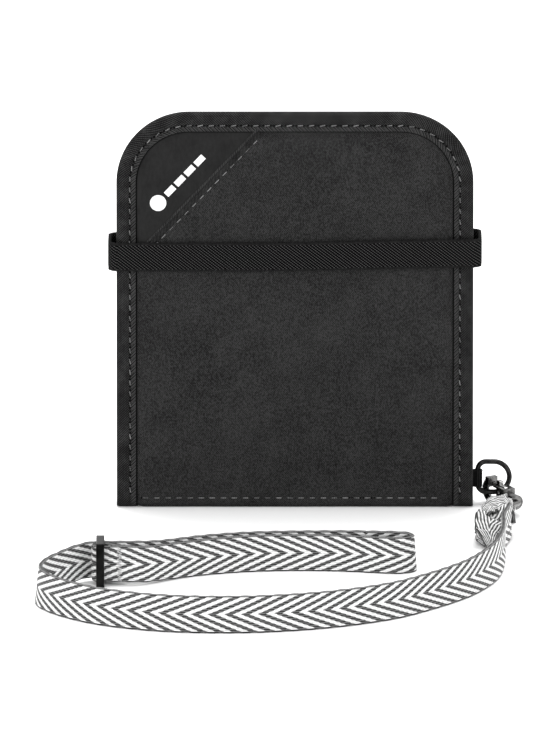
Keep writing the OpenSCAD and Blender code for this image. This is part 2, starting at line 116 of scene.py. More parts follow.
class Shader:
    """A material with one Principled shader, and short names for its pattern's nodes."""

    def __init__(self, name, **uniform):
        self.material = bpy.data.materials.new(name)
        self.material.use_nodes = True
        self.tree = self.material.node_tree
        self.surface = self.tree.nodes["Principled BSDF"]
        for socket, value in uniform.items():
            self.surface.inputs[socket.replace("_", " ")].default_value = value
        uv = self.add("ShaderNodeUVMap", uv_map="cloth")
        split = self.add("ShaderNodeSeparateXYZ")
        self.link(uv.outputs["UV"], split.inputs[0])
        self.along, self.across = split.outputs["X"], split.outputs["Y"]
        self.place = self.add("ShaderNodeTexCoord").outputs["Object"]

    def add(self, kind, **settings):
        node = self.tree.nodes.new(kind)
        for name, value in settings.items():
            setattr(node, name, value)
        return node

    def link(self, output, socket):
        self.tree.links.new(output, socket)

    def math(self, operation, *values):
        node = self.add("ShaderNodeMath", operation=operation)
        for socket, value in zip(node.inputs, values):
            if isinstance(value, (int, float)):
                socket.default_value = value
            else:
                self.link(value, socket)
        return node.outputs[0]

    def wave(self, place, pitch):
        """A smooth wave from 0 to 1, once for each pitch millimetres."""
        turn = self.math("MULTIPLY", self.math("DIVIDE", place, pitch), 2 * math.pi)
        return self.math("MULTIPLY_ADD", self.math("SINE", turn), 0.5, 0.5)

    def diagonal(self, slope, pitch):
        """A wave that slants across the cloth."""
        return self.wave(self.math("MULTIPLY_ADD", self.across, slope, self.along), pitch)

    def weigh(self, first, share, second, other_share):
        """Two numbers, each times its share, added up."""
        other = self.math("MULTIPLY", second, other_share)
        return self.math("MULTIPLY_ADD", first, share, other)

    def noise(self, size, detail=2.0, stretch=(1, 1, 1)):
        """Noise from 0 to 1 with features of about size millimetres."""
        scaled = self.add("ShaderNodeMapping")
        scaled.inputs["Scale"].default_value = stretch
        self.link(self.place, scaled.inputs["Vector"])
        node = self.add("ShaderNodeTexNoise")
        node.inputs["Scale"].default_value = 1 / (size * MM)
        node.inputs["Detail"].default_value = detail
        self.link(scaled.outputs[0], node.inputs["Vector"])
        return node.outputs["Fac"]

    def mix(self, share, first, second):
        """A number between two others."""
        node = self.add("ShaderNodeMix", data_type="FLOAT")
        for socket, value in zip(node.inputs[:4], (share, None, first, second)):
            if isinstance(value, (int, float)):
                socket.default_value = value
            elif value is not None:
                self.link(value, socket)
        return node.outputs[0]

    def ramp(self, value, *stops, warmth=0.0):
        """Greys along a value. Each stop is a place from 0 to 1 and how light it is there."""
        node = self.add("ShaderNodeValToRGB")
        while len(node.color_ramp.elements) < len(stops):
            node.color_ramp.elements.new(0.5)
        for element, (place, level) in zip(node.color_ramp.elements, stops):
            element.position = place
            element.color = (*grey(level, warmth), 1)
        self.link(value, node.inputs[0])
        return node.outputs["Color"]

    def finish(self, colour=None, height=None, relief=0.1, roughness=None):
        """Links the pattern: colour, roughness, and a bump of relief millimetres."""
        if colour is not None:
            self.link(colour, self.surface.inputs["Base Color"])
        if roughness is not None:
            self.link(roughness, self.surface.inputs["Roughness"])
        if height is not None:
            bump = self.add("ShaderNodeBump")
            bump.inputs["Strength"].default_value = 1
            bump.inputs["Distance"].default_value = relief * MM
            self.link(height, bump.inputs["Height"])
            self.link(bump.outputs["Normal"], self.surface.inputs["Normal"])
        return self.material


def grey(value, warmth=0.0):
    """A grey, a little towards red or blue."""
    return (value * (1 + warmth), value, value * (1 - warmth))


def nylon(name, dark, light, thread=0.62, relief=0.06):
    """Fine plain-woven nylon: warp and weft cross once each thread, with faint mottling."""
    s = Shader(name, Specular_IOR_Level=0.05)
    warp, weft = s.wave(s.along, thread), s.wave(s.across, thread)
    over = s.math("ABSOLUTE", s.math("SUBTRACT", warp, weft))
    woven = s.weigh(s.noise(0.42, 2, (1, 1, 0.7)), 0.62, over, 0.38)
    shade = s.weigh(s.noise(11, 4), 0.15, woven, 0.85)
    colour = s.ramp(shade, (0.35, dark), (0.61, light))
    return s.finish(colour, over, relief, s.mix(s.noise(14, 3), 0.6, 0.75))


def twill(name, dark, light, pitch=0.85, slope=1.0, relief=0.09, rim=0.0, crevice=0.0):
    """Diagonal twill: ribs run across the tape at an angle, broken into threads. Where the place
    across is below rim the tape has a painted highlight on its raised edge, in coarser
    diagonals, and below crevice it is painted black as shade in the groove."""
    s = Shader(name, Specular_IOR_Level=0.06)
    rib, grain = s.diagonal(slope, pitch), s.wave(s.across, pitch * 0.6)
    raised = s.math("MULTIPLY", rib, s.math("MULTIPLY_ADD", grain, 0.5, 0.5))
    fibre = s.noise(0.8, 3)
    mottled = s.math("MULTIPLY_ADD", s.noise(3.6, 3), 0.5, -0.25)
    shade = s.math("ADD", s.weigh(raised, 0.6, fibre, 0.4), mottled)
    if rim:
        # painted highlight on the raised rim, and painted shade: black below crevice
        inside = s.math("MAXIMUM", s.math("SUBTRACT", rim, s.across), 0.0)
        coarse = s.math("MULTIPLY_ADD", s.diagonal(slope, pitch * 1.5), 1.3, -0.25)
        painted_ridge_highlight = s.math("MULTIPLY", s.math("MINIMUM", inside, 0.33), coarse)
        lit = s.math("GREATER_THAN", s.across, crevice)
        shade = s.math("MULTIPLY", s.math("ADD", shade, painted_ridge_highlight), lit)
    colour = s.ramp(shade, (0.26, dark), (0.8, light))
    return s.finish(colour, raised, relief, s.mix(fibre, 0.6, 0.78))


def smooth_fabric(name, dark, light):
    """The corner patch: a smoother coated cloth."""
    s = Shader(name, Specular_IOR_Level=0.08)
    grain = s.noise(0.9, 5, (1, 1, 0.5))
    shade = s.weigh(s.noise(9, 3), 0.5, grain, 0.5)
    colour = s.ramp(shade, (0.3, dark), (0.7, light))
    return s.finish(colour, grain, 0.03, s.mix(grain, 0.5, 0.65))


def herringbone(name, turn, gather=1.0):
    """Black and white herringbone webbing. Its arms meet on the centre line, and point along the
    strap if turn is 1, and back along it if turn is -1. gather is how far its pattern is drawn
    together."""
    s = Shader(name, Specular_IOR_Level=0.2, Sheen_Weight=0.08, Sheen_Roughness=0.5)
    off_centre = s.math("ABSOLUTE", s.across)
    wander = s.math("MULTIPLY_ADD", s.noise(5, 2), 0.4, -0.2)
    reach = s.math("MULTIPLY_ADD", off_centre, turn * CHEVRON_SLOPE, s.along)
    stripe = s.wave(s.math("ADD", reach, wander), CHEVRON_PITCH * gather)
    pick = s.wave(s.across, PICK_PITCH)
    fuzzy = s.math("MULTIPLY_ADD", s.noise(0.6, 2), 0.2, stripe)
    ragged = s.math("MULTIPLY_ADD", pick, 0.22, fuzzy)
    edge = s.math("GREATER_THAN", off_centre, WEB_WIDE / 2 - SELVAGE)
    dark = s.math("MAXIMUM", s.ramp(ragged, (0.62, 0), (0.76, 1)), edge)
    fibre = s.noise(0.55, 3)
    white = s.ramp(s.weigh(pick, 0.45, fibre, 0.55), (0.2, 0.5), (0.7, 0.9))
    floats = s.math("MULTIPLY", pick, s.noise(0.5, 2))
    black = s.ramp(floats, (0.12, 0.008), (0.42, 0.15))
    blend = s.add("ShaderNodeMix", data_type="RGBA")
    colours = [i for i in blend.inputs if i.type == "RGBA"]
    s.link(dark, blend.inputs[0])
    s.link(white, colours[0])
    s.link(black, colours[1])
    colour = next(o for o in blend.outputs if o.type == "RGBA")
    float_up = s.math("SUBTRACT", 1.0, s.math("MULTIPLY", dark, 0.6))
    height = s.math("MULTIPLY_ADD", pick, 0.4, float_up)
    return s.finish(colour, height, 0.16, s.mix(fibre, 0.66, 0.82))


def ribbed_elastic(name, tall):
    """Knitted elastic: slanting beaded ribs between plain selvages. tall is its width."""
    s = Shader(name, Specular_IOR_Level=0.02)
    rib, knit = s.diagonal(RIB_SLOPE, RIB_PITCH), s.diagonal(-RIB_SLOPE, RIB_PITCH * 0.8)
    raised = s.math("MULTIPLY", rib, s.math("MULTIPLY_ADD", knit, 0.6, 0.4))
    rim = s.math("GREATER_THAN", s.math("ABSOLUTE", s.across), tall / 2 - RIB_RIM)
    fibre = s.noise(0.8, 4)
    shade = s.weigh(s.mix(rim, raised, 0.42), 0.85, fibre, 0.15)
    colour = s.ramp(shade, (0.36, 0.0002), (0.8, 0.064))
    return s.finish(colour, raised, 0.18, s.mix(fibre, 0.65, 0.8))


def metal(name, dark, light, low=0.16, high=0.34, size=3):
    """Plated metal with faint uneven polish and fine scratches."""
    s = Shader(name, Metallic=1.0, Specular_IOR_Level=0.5)
    patches, hair = s.noise(size, 3), s.noise(0.25, 2, (1, 1, 9))
    colour = s.ramp(patches, (0.3, dark), (0.7, light), warmth=0.01)
    return s.finish(colour, hair, 0.004, s.mix(patches, low, high))


def thread(name, dark, light):
    """Sewing thread: two plies twisted together."""
    s = Shader(name, Specular_IOR_Level=0.35, Sheen_Weight=0.1, Sheen_Roughness=0.4)
    ply = s.diagonal(0.5, 0.6)
    shade = s.weigh(s.noise(3.5, 2), 0.75, ply, 0.25)
    colour = s.ramp(shade, (0.35, dark), (0.62, light))
    return s.finish(colour, ply, 0.05, s.mix(ply, 0.45, 0.6))


def plain(name, dark, light, size, low, high, relief=0.02, **uniform):
    """An uneven plain surface, such as board, foil, print or a moulded coil."""
    s = Shader(name, **uniform)
    grain = s.noise(size, 4)
    colour = s.ramp(grain, (0.3, dark), (0.7, light))
    return s.finish(colour, grain, relief, s.mix(grain, low, high))


WEB_WIDE, WEB_THICK = 12.7, 1.3  # the strap's webbing
CHEVRON_PITCH = 5.6  # of its herringbone, along it
CHEVRON_SLOPE = 1 / math.tan(math.radians(22.8))
PICK_PITCH = 0.74  # between its picks, across it
SELVAGE = 0.5  # the webbing's dark edge
RIB_PITCH, RIB_SLOPE = 1.35, 1.25  # of the elastic's ribs
RIB_RIM = 0.75  # the elastic's plain edge

SHELL_CLOTH = nylon("shell_cloth", 0.0004, 0.044)
# rim and crevice: painted highlight on the tape's raised inner edge, painted shade in its groove
BINDING_TAPE = twill("binding_tape", 0.0004, 0.046, rim=2.9, crevice=1.1)
# rim: painted highlight along the folded band's ridge
BAND_TAPE = twill("band_tape", 0.002, 0.046, pitch=0.7, rim=1.5)
PATCH_CLOTH = smooth_fabric("patch_cloth", 0.008, 0.017)
LINING_CLOTH = nylon("lining_cloth", 0.016, 0.04, 0.5)
POCKET_CLOTH = nylon("pocket_cloth", 0.022, 0.052, 0.7)
TAB_TAPE = twill("tab_tape", 0.002, 0.022, pitch=0.6, slope=0.0)
ZIP_TAPE = twill("zip_tape", 0.012, 0.028, pitch=0.6, slope=1.4)
ELASTIC_KNIT = ribbed_elastic("elastic_knit", 10)
STRAP_WEB = herringbone("strap_web", 1)
LOOP_WEB = herringbone("loop_web", -1)
HITCH_WEB = herringbone("hitch_web", 1, 0.62)
ROW_THREAD = thread("row_thread", 0.015, 0.24)
DARK_THREAD = thread("dark_thread", 0.035, 0.1)
# near black: painted shade in the needle holes
HOLE_SHADE = plain("painted_hole_shade", 0.0012, 0.003, 0.5, 0.8, 0.9, Specular_IOR_Level=0.05)
SEAM_THREAD = thread("seam_thread", 0.02, 0.05)
PALE_THREAD = thread("pale_thread", 0.3, 0.55)
BLACK_METAL = metal("black_metal", 0.012, 0.045, 0.16, 0.3, 2)
GUN_METAL = metal("gun_metal", 0.16, 0.26, 0.14, 0.28)
HOOK_METAL = metal("hook_metal", 0.05, 0.2, 0.14, 0.28, 1.6)
GATE_METAL = metal("gate_metal", 0.3, 0.42, 0.14, 0.26)
PIN_METAL = metal("pin_metal", 0.4, 0.5, 0.2, 0.3)
ZIP_METAL = metal("zip_metal", 0.12, 0.2, 0.25, 0.4)
SLIDER_METAL = metal("slider_metal", 0.006, 0.014, 0.25, 0.4)
COIL_PLASTIC = plain("coil_plastic", 0.012, 0.022, 2, 0.35, 0.5)
FIBRE_BOARD = plain("fibre_board", 0.22, 0.3, 0.8, 0.8, 0.9, 0.05)
METAL_FOIL = plain("metal_foil", 0.7, 0.8, 4, 0.25, 0.4, 0.03, Metallic=1.0)
WHITE_PRINT = plain("white_print", 0.78, 0.86, 0.5, 0.5, 0.65, 0.02)


# ---------------- meshes


def build(name, points, faces, corners, material, body=None, slot=None):
    """One piece from points in millimetres, faces, and a UV pair for each face corner."""
    mesh = bpy.data.meshes.new(name)
    mesh.from_pydata((np.asarray(points, float) * MM).tolist(), [], faces)
    layer = mesh.uv_layers.new(name="cloth")
    layer.data.foreach_set("uv", np.asarray(corners, np.float32).ravel())
    work = bmesh.new()
    work.from_mesh(mesh)
    bmesh.ops.delete(work, geom=[v for v in work.verts if not v.link_faces], context="VERTS")
    bmesh.ops.recalc_face_normals(work, faces=work.faces)
    work.to_mesh(mesh)
    work.free()
    mesh.polygons.foreach_set("use_smooth", [True] * len(mesh.polygons))
    mesh.materials.append(material)
    piece = bpy.data.objects.new(name, mesh)
    bpy.context.scene.collection.objects.link(piece)
    if body:
        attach(piece, body)
    return piece


def lengths(points):
    """How far along a line each of its points is."""
    return np.concatenate([[0], np.cumsum(np.linalg.norm(np.diff(points, axis=0), axis=1))])


def sweep(rings, along, across, closed=False):
    """A closed section through rings of points. along has a value for each ring, and across for
    each point of the section and for its first one again."""
    count, size = rings.shape[:2]
    faces, corners = [], []
    for i in range(count if closed else count - 1):
        a, b = i * size, (i + 1) % count * size
        for j in range(size):
            k = (j + 1) % size
            faces.append((a + j, a + k, b + k, b + j))
            corners += [(along[i], across[j]), (along[i], across[j + 1])]
            corners += [(along[i + 1], across[j + 1]), (along[i + 1], across[j])]
    if not closed:
        for i in (0, count - 1):
            faces.append(tuple(i * size + j for j in range(size)))
            corners += [(along[i], across[j]) for j in range(size)]
    return rings.reshape(-1, 3), faces, corners


def sheet_faces(outer, inner, flat, keep=None):
    """A sheet with two faces and a rim, from two grids of points, and flat, each point's place on
    the cloth. keep says which cells of the grid are there."""
    rows, cols = outer.shape[:2]
    keep = np.ones((rows - 1, cols - 1), bool) if keep is None else keep
    padded = np.pad(keep, 1)
    points = np.concatenate([outer.reshape(-1, 3), inner.reshape(-1, 3)])
    below, spots = rows * cols, flat.reshape(-1, 2).tolist()
    faces = []
    for r, c in np.argwhere(keep):
        a, b, d, e = r * cols + c, r * cols + c + 1, (r + 1) * cols + c + 1, (r + 1) * cols + c
        faces += [(a, b, d, e), (below + e, below + d, below + b, below + a)]
        sides = ((0, 1, a, b), (1, 2, b, d), (2, 1, d, e), (1, 0, e, a))
        faces += [(q, p, below + p, below + q) for i, j, p, q in sides if not padded[r + i, c + j]]
    faces = [tuple(int(v) for v in face) for face in faces]
    return points, faces, [spots[v % below] for face in faces for v in face]


HOLE_GAP = 0.15  # between a stitch's end and the middle of its needle hole


def joined(parts):
    """Several meshes as one: their points, faces and UVs."""
    points, faces, corners, start = [], [], [], 0
    for part_points, part_faces, part_corners in parts:
        points.append(part_points)
        faces += [tuple(v + start for v in face) for face in part_faces]
        corners += part_corners
        start += len(part_points)
    return np.concatenate(points), faces, corners


def unit(vectors):
    """Vectors of length 1 that point the same way."""
    vectors = np.asarray(vectors, float)
    return vectors / np.linalg.norm(vectors, axis=-1, keepdims=True)


def headings(path):
    """The direction along a path at each of its points."""
    return unit(np.gradient(path, axis=0))


def threads(places, tangents, normals, steps, girth, lift, sides=6):
    """Short closed tubes, one at each place: their points, faces and UVs."""
    turns = np.arange(sides) * 2 * math.pi / sides
    tubes = []
    for place, tangent, normal in zip(np.asarray(places, float), unit(tangents), unit(normals)):
        sideways = np.cross(tangent, normal)
        round_it = np.cos(turns)[:, None] * normal + np.sin(turns)[:, None] * sideways
        spine = place + steps[:, None] * tangent + lift[:, None] * normal
        rings = spine[:, None] + girth[:, None, None] * round_it
        tubes.append(sweep(rings, steps, np.arange(sides + 1) * 0.25))
    return joined(tubes)


def stitches(name, places, tangents, normals, material, body, slot, length, thick, sink=0.3):
    """Short threads that dip into the cloth at both ends, all in one piece."""
    steps = np.array([-0.5, -0.4, -0.18, 0.18, 0.4, 0.5]) * length
    girth = np.array([0.3, 0.8, 1.0, 1.0, 0.8, 0.3]) * thick
    lift = np.array([-sink, -0.1 * sink, 0.3 * thick, 0.3 * thick, -0.1 * sink, -sink])
    made = threads(places, tangents, normals, steps, girth, lift)
    return build(name, *made, material, body, slot)


def needle_holes(name, places, tangents, normals, body, length, radius=0.4):
    """Dimples at both ends of each stitch of a row, near black as painted shade in the needle
    holes.
    """
    tangents = unit(tangents)
    reach = (length / 2 + HOLE_GAP) * tangents
    places = np.concatenate([places - reach, places + reach])
    steps = np.array([-0.2, -0.03, 0.02])
    girth = np.array([0.7, 1.0, 0.85]) * radius
    outwards, along = np.concatenate([normals, normals]), np.concatenate([tangents, tangents])
    made = threads(places, outwards, along, steps, girth, np.zeros(3), 8)
    return build(name, *made, HOLE_SHADE, body, "thread")


def ramp_up(values, low, high):
    """0 below low, 1 above high, and smooth between."""
    t = np.clip((np.asarray(values, float) - low) / (high - low), 0, 1)
    return t * t * (3 - 2 * t)


def ripple(x, z):
    """Slow unevenness of a stretched cloth, from about -1 to 1."""
    return (
        0.4 * np.sin(0.113 * x + 0.071 * z + 1.3)
        + 0.3 * np.sin(0.057 * x - 0.131 * z)
        + 0.2 * np.sin(0.231 * x + 0.187 * z + 2.0)
        + 0.1 * np.sin(0.51 * x - 0.43 * z + 0.7)
    )


# ---------------- the strap, which is a cord

STRAP_ROUTE = [
    (73.2, -45, 0.4), (72.2, -50.5, 0.2), (71, -57, 0), (71, -66, 0), (70.5, -77.5, 0),
    (69, -89, 0), (66, -100, 0), (60, -113, 0), (53, -123, 0), (45, -132, 0), (35, -141.5, 0),
    (23, -148.8, 0), (10, -154.3, 0), (-3, -157.8, 0), (-17, -159.8, 0), (-32, -159.8, 0),
    (-46, -157.8, 0), (-58, -153.8, 0), (-68, -148.6, 0), (-76, -142, 0), (-82, -135, 0),
    (-85.8, -128, 0), (-86.6, -120.5, 0), (-84.4, -113, 0.1), (-80, -106.6, 0.4),
    (-75, -101, 0.9), (-70, -97.4, 1.25), (-66, -96.6, 1.3), (-62, -96.5, 1.3),
    (-54, -96.2, 1.25), (-47, -94, 0.8), (-40, -89.5, 0.3), (-31, -84.5, 0), (-18, -81, 0),
    (-4, -79.5, 0), (10, -79, 0), (24, -79, 0),
]  # fmt: skip
LOOP_ROUTE = [
    (24, -79, 0), (34, -79.5, 0), (38.5, -80.8, 0), (40.3, -83.6, 0), (38.5, -86.6, 0),
    (34, -87.6, 0), (27, -86.6, 0), (18, -85, 0), (8, -84.2, 0), (-4, -84.2, 0), (-17, -85.6, 0),
    (-29, -89, 0), (-38, -93, 0.1), (-45, -97.6, 0.5), (-51, -101.4, 0.9), (-57, -102.25, 1.3),
    (-65, -102.25, 1.3), (-67.6, -101.8, 1.3), (-68.25, -100.2, 1.3), (-67.5, -98.6, 1.3),
    (-65, -98.4, 1.3), (-63, -99.1, 1.3), (-61, -100.4, 1.3), (-59.5, -100.85, 1.3),
    (-57.5, -100.85, 1.3),
]  # fmt: skip
RING_STEP = 0.55  # between rings of a woven mesh, fine enough for its ribs
CURVE_STEP = 0.05  # share of the way between two route points
STRIPE_RELIEF = 0.1  # of the woven stripes, and the waviness of the selvage beside them
SELVAGE_WAVE = 0.09


def smooth_line(route, step):
    """A Catmull-Rom curve through a route's points, with points about step apart."""
    route = np.array(route, float)
    padded = np.concatenate([[2 * route[0] - route[1]], route, [2 * route[-1] - route[-2]]])
    fine = []
    for a, b, c, d in zip(padded, padded[1:], padded[2:], padded[3:]):
        for t in np.arange(0, 1, CURVE_STEP):
            fine.append(0.5 * (2 * b + (c - a) * t + (2 * a - 5 * b + 4 * c - d) * t**2
                               + (3 * b - a - 3 * c + d) * t**3))  # fmt: skip
    fine = np.array(fine + [route[-1]])
    along = lengths(fine)
    at = np.linspace(0, along[-1], int(along[-1] / step) + 1)
    return np.stack([np.interp(at, along, fine[:, k]) for k in range(3)], axis=1)


def web_section(wide, thick, columns=22):
    """The section of a webbing, as (across, through) pairs: flat faces, and rounded selvages."""
    across = np.linspace(-1, 1, columns) * (wide / 2 - thick * 0.3)
    face = [(w, thick / 2) for w in across]
    shoulder = wide / 2 - thick * 0.06
    edge = [(shoulder, thick * 0.3), (wide / 2, 0), (shoulder, -thick * 0.3)]
    other = [(w, -thick / 2) for w in across[::-1]]
    far_edge = [(-w, t) for w, t in edge[::-1]]
    return np.array(face + edge + other + far_edge)


def chevron_relief(along, across, turn):
    """How far the woven stripes of the herringbone stand out."""
    phase = (along + turn * CHEVRON_SLOPE * np.abs(across)) / CHEVRON_PITCH
    return STRIPE_RELIEF * (0.5 - 0.5 * np.sin(2 * math.pi * phase))


def web_ribbon(name, middle, upright, turn, material, wide=WEB_WIDE, thick=WEB_THICK, start=0.0):
    """A webbing along a middle line. upright is the direction of its width at each point."""
    wide = np.broadcast_to(wide, len(middle))
    tangent = headings(middle)
    upright = unit(upright - (upright * tangent).sum(1)[:, None] * tangent)
    normal = np.cross(tangent, upright)
    section = web_section(WEB_WIDE, thick)
    along = lengths(middle) + start
    across, through = section[:, 0], section[:, 1]
    on_face = (np.abs(through) > thick * 0.4)[None]
    relief = chevron_relief(along[:, None], across[None], turn)
    out = through[None] + np.sign(through)[None] * relief * on_face
    scallop = SELVAGE_WAVE * np.sin(2 * math.pi * along / CHEVRON_PITCH)[:, None]
    sideways = across[None] * (wide / WEB_WIDE)[:, None]
    sideways = sideways + np.sign(across)[None] * scallop * ~on_face
    rings = middle[:, None] + sideways[..., None] * upright[:, None]
    rings += out[..., None] * normal[:, None]
    made = sweep(rings, along, np.append(across, across[0]))
    return build(name, *made, material, slot="webbing")


def leaning(middle, lean):
    """Up, tilted to the left of a line by lean degrees at each of its points."""
    left = np.cross([0, 0, 1], headings(middle))
    angle = np.radians(lean)[:, None]
    return np.cos(angle) * np.array([0, 0, 1]) + np.sin(angle) * left


def raised(route):
    """The middle line of a webbing whose lower edge follows a route."""
    return smooth_line(route, RING_STEP) + np.array([0, 0, WEB_WIDE / 2])


STRAP_LEAN, LOOP_LEAN = -9, -4  # degrees

strap_middle = raised(STRAP_ROUTE)
strap_along = lengths(strap_middle)
strap_lean = STRAP_LEAN * ramp_up(strap_along, 25, 60) * (1 - ramp_up(strap_along, 235, 275))
strap_upright = leaning(strap_middle, strap_lean)
strap = web_ribbon("strap_webbing_cloth", strap_middle, strap_upright, 1, STRAP_WEB)
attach(strap, "strap")
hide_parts("strap_webbing")

loop_middle = raised(LOOP_ROUTE)
loop_along = lengths(loop_middle)
loop_upright = leaning(loop_middle, LOOP_LEAN * (1 - ramp_up(loop_along, 70, 105)))
loop = web_ribbon("wrist_loop", loop_middle, loop_upright, -1, LOOP_WEB, start=strap_along[-1])
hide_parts("loop_front", "loop_fold")
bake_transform(loop)


# ---------------- the hitch of webbing on the clip's eye

HITCH_THICK = 1.1
# Each band: its route, the directions of its width and its widths from end to end, and its turn.
# The webbing gathers round the eye, crosses over itself and leaves on the right.
HITCH_BANDS = {
    "hitch_flap": (
        [
            (70.2, -33, 8.6), (69.4, -38, 9.6), (68, -44, 9.2), (66.6, -49.5, 7.8),
            (66, -54.5, 5.2), (66.8, -59, 1.5),
        ],
        [(0.9, 0.1, 0.45), (1, 0.1, 0.3), (1, 0.1, -0.15), (1, 0.3, -0.3), (1, 0.2, 0)],
        [6, 8.5, 10.2, 11.2, 9.4, 3.6],
        1,
    ),
    "hitch_left": (
        [
            (69.4, -29.5, 7.4), (66.6, -33.5, 7.6), (64.8, -38.5, 6.9), (63.8, -44, 5.9),
            (63.7, -50, 4.6), (65.4, -56.6, 2.2),
        ],
        [(0.5, 0, 1), (0.45, 0, 1), (0.3, 0, 1), (0.5, 0, 1), (0.9, 0, 1)],
        [5, 7.4, 8.6, 8.8, 7.2, 3.8],
        1,
    ),
    "hitch_cross": (
        [
            (64.6, -46.5, 6.8), (65.6, -44.8, 9.6), (68.2, -43, 11.2), (71.2, -42, 10.9),
            (73.6, -42.2, 8.6), (74.2, -43.6, 5),
        ],
        [(0.2, 1, 0.9), (0.15, 1, 0.7), (0, 1, 0.5), (-0.1, 1, 0.3), (-0.25, 1, 0.1)],
        [5.5, 6.6, 7, 6.6, 6, 5],
        -1,
    ),
    "hitch_over": (
        [
            (65.4, -36.5, 7.2), (66.6, -36.6, 10), (69.2, -36.4, 11.4), (72.2, -36.6, 10.4),
            (73.9, -37.6, 7.4), (74, -39, 4.4),
        ],
        [(0, 1, 0.5), (0, 1, 0.3), (-0.1, 1, 0.2), (-0.2, 1, 0)],
        [5, 6.2, 6.4, 6, 5],
        1,
    ),
    "hitch_eye_wrap": (
        [
            (70, -36, 9.4), (70.1, -31.5, 10.1), (70.4, -28, 9.7), (70.5, -25.6, 7.8),
            (70.5, -24.7, 4.8), (70.5, -25.7, 2.3), (70.5, -29, 1.1), (70.3, -34, 0.9),
        ],
        [(1, 0, 0.12), (1, 0, 0.1), (1, 0, 0)],
        [6.5, 5.4, 4.6, 4.2, 4.2, 5, 6.5],
        1,
    ),
}  # fmt: skip
HITCH_CORE = [  # (y, lowest z, highest z, left x, right x)
    (-29, 3.0, 8.2, 68.6, 72.2), (-32.5, 1.2, 9.0, 66.2, 73.4), (-38, 0.8, 9.4, 63.4, 74.0),
    (-45, 0.8, 8.8, 62.8, 73.8), (-52, 0.8, 6.2, 64.0, 72.6), (-57.5, 0.9, 2.8, 67.2, 71.2),
]  # fmt: skip


def hitch_band(name, route, uprights, wide, turn):
    """A short creased webbing of the hitch. Its creases differ with the length of its name."""
    middle = smooth_line(route, RING_STEP)
    at = np.linspace(0, 1, len(middle))
    knots = np.linspace(0, 1, len(uprights))
    upright = np.stack([np.interp(at, knots, [u[k] for u in uprights]) for k in range(3)], axis=1)
    spread = np.interp(at, np.linspace(0, 1, len(wide)), wide)
    reach, start = lengths(middle), len(name)
    crease = 0.32 * np.sin(reach * 0.9 + start) + 0.2 * np.sin(reach * 1.9 + 1.3 * start)
    middle = middle + (crease * np.sin(math.pi * at))[:, None] * np.array([0.25, 0.1, 1.0])
    twist = 0.3 * np.sin(reach * 0.65 + 0.7 * start)[:, None]
    upright = unit(upright) + twist * np.array([0.0, 0.3, 1.0])
    piece = web_ribbon(name, middle, upright, turn, HITCH_WEB, spread, HITCH_THICK)
    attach(piece, "strap")
    return piece


def hitch_core():
    """The folded webbing inside the hitch, which shows between its bands."""
    turns = np.linspace(0, 2 * math.pi, 48, endpoint=False)
    at = np.linspace(0, len(HITCH_CORE) - 1, 60)
    columns = (np.interp(at, range(len(HITCH_CORE)), column) for column in zip(*HITCH_CORE))
    y, low, high, left, right = (column[:, None] for column in columns)
    pleat = 1 + 0.035 * np.sin(9 * turns[None] + 0.35 * y)
    x = (left + right) / 2 + (right - left) / 2 * np.cos(turns)[None] * pleat
    z = (low + high) / 2 + (high - low) / 2 * np.sin(turns)[None] * pleat
    rings = np.stack(np.broadcast_arrays(x, y, z), axis=2)
    made = sweep(rings, -y[:, 0], np.linspace(-14, 14, len(turns) + 1))
    return build("hitch_core", *made, HITCH_WEB, "strap", "webbing")


hitch_pieces = [hitch_band(name, *facts) for name, facts in HITCH_BANDS.items()]
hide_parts("hitch_knot")
hitch_pieces.append(hitch_core())


# ---------------- the covers' outline

binding_low, binding_high = cad_box("front_binding")
HALF_WIDE = float(binding_high[0])
HALF_THICK = float(-binding_low[1])
TOP_Z = {side: float(cad_box(f"{NAMES[side]}_binding")[1][2]) for side in COVERS}
CORNER_R = 25  # of a cover's two upper corners
STRAIGHT_X = HALF_WIDE - CORNER_R  # where the top edge starts to bend
BIND_WIDE, BIND_DEEP = 7, 3.7  # the tape on a cover's edge: its width, and the edge's thickness
CLOTH_DEPTH = 0.6  # of the outer cloth's face
FOLD_R = 2.2  # round the bottom fold
UNDER_Z = 0.25  # the outer cloth's height over the table under the fold
STITCH_INSET = 4.6  # of the row of stitches in the tape
STITCH_PITCH = 3.8
STITCH_START = 6.0  # from the tape's end to the first stitch
STITCH_THICK = 0.17
TAPE_STITCH, HEM_STITCH, ROW_STITCH = 2.2, 2.2, 2.5  # lengths
TAPE_STITCH_DEPTH = 0.36


def half_width(side, z, inset):
    """Half of a cover's width at a height, pulled in by inset."""
    above = np.maximum(np.asarray(z, float) - (TOP_Z[side] - CORNER_R), 0)
    return STRAIGHT_X + np.sqrt(np.maximum((CORNER_R - inset) ** 2 - above**2, 0))


def inset_at(side, x, z):
    """How far inside a cover's outline a point is."""
    x = np.abs(x)
    across, above = x - STRAIGHT_X, z - (TOP_Z[side] - CORNER_R)
    corner = CORNER_R - np.hypot(np.maximum(across, 0), np.maximum(above, 0))
    edge = np.minimum(HALF_WIDE - x, TOP_Z[side] - z)
    return np.where((across > 0) & (above > 0), corner, edge)


def outline(side, low_z, step):
    """A cover's outline from the bottom on the left, over the top, to the bottom on the right:
    points, directions along it, and directions inwards, as (x, z) pairs."""
    top_z = TOP_Z[side]
    half = [((-HALF_WIDE, z), (0, 1)) for z in np.arange(low_z, top_z - CORNER_R, step)]
    for a in np.linspace(0, math.pi / 2, int(CORNER_R * math.pi / 2 / step) + 1):
        x, z = -STRAIGHT_X - CORNER_R * math.cos(a), top_z - CORNER_R + CORNER_R * math.sin(a)
        half.append(((x, z), (math.sin(a), math.cos(a))))
    over = [((x, top_z), (1, 0)) for x in np.arange(-STRAIGHT_X + step, STRAIGHT_X, step)]
    mirrored = [((-x, z), (tx, -tz)) for (x, z), (tx, tz) in half[::-1]]
    points, tangents = (np.array(v) for v in zip(*(half + over + mirrored)))
    return points, tangents, np.stack([tangents[:, 1], -tangents[:, 0]], axis=1)


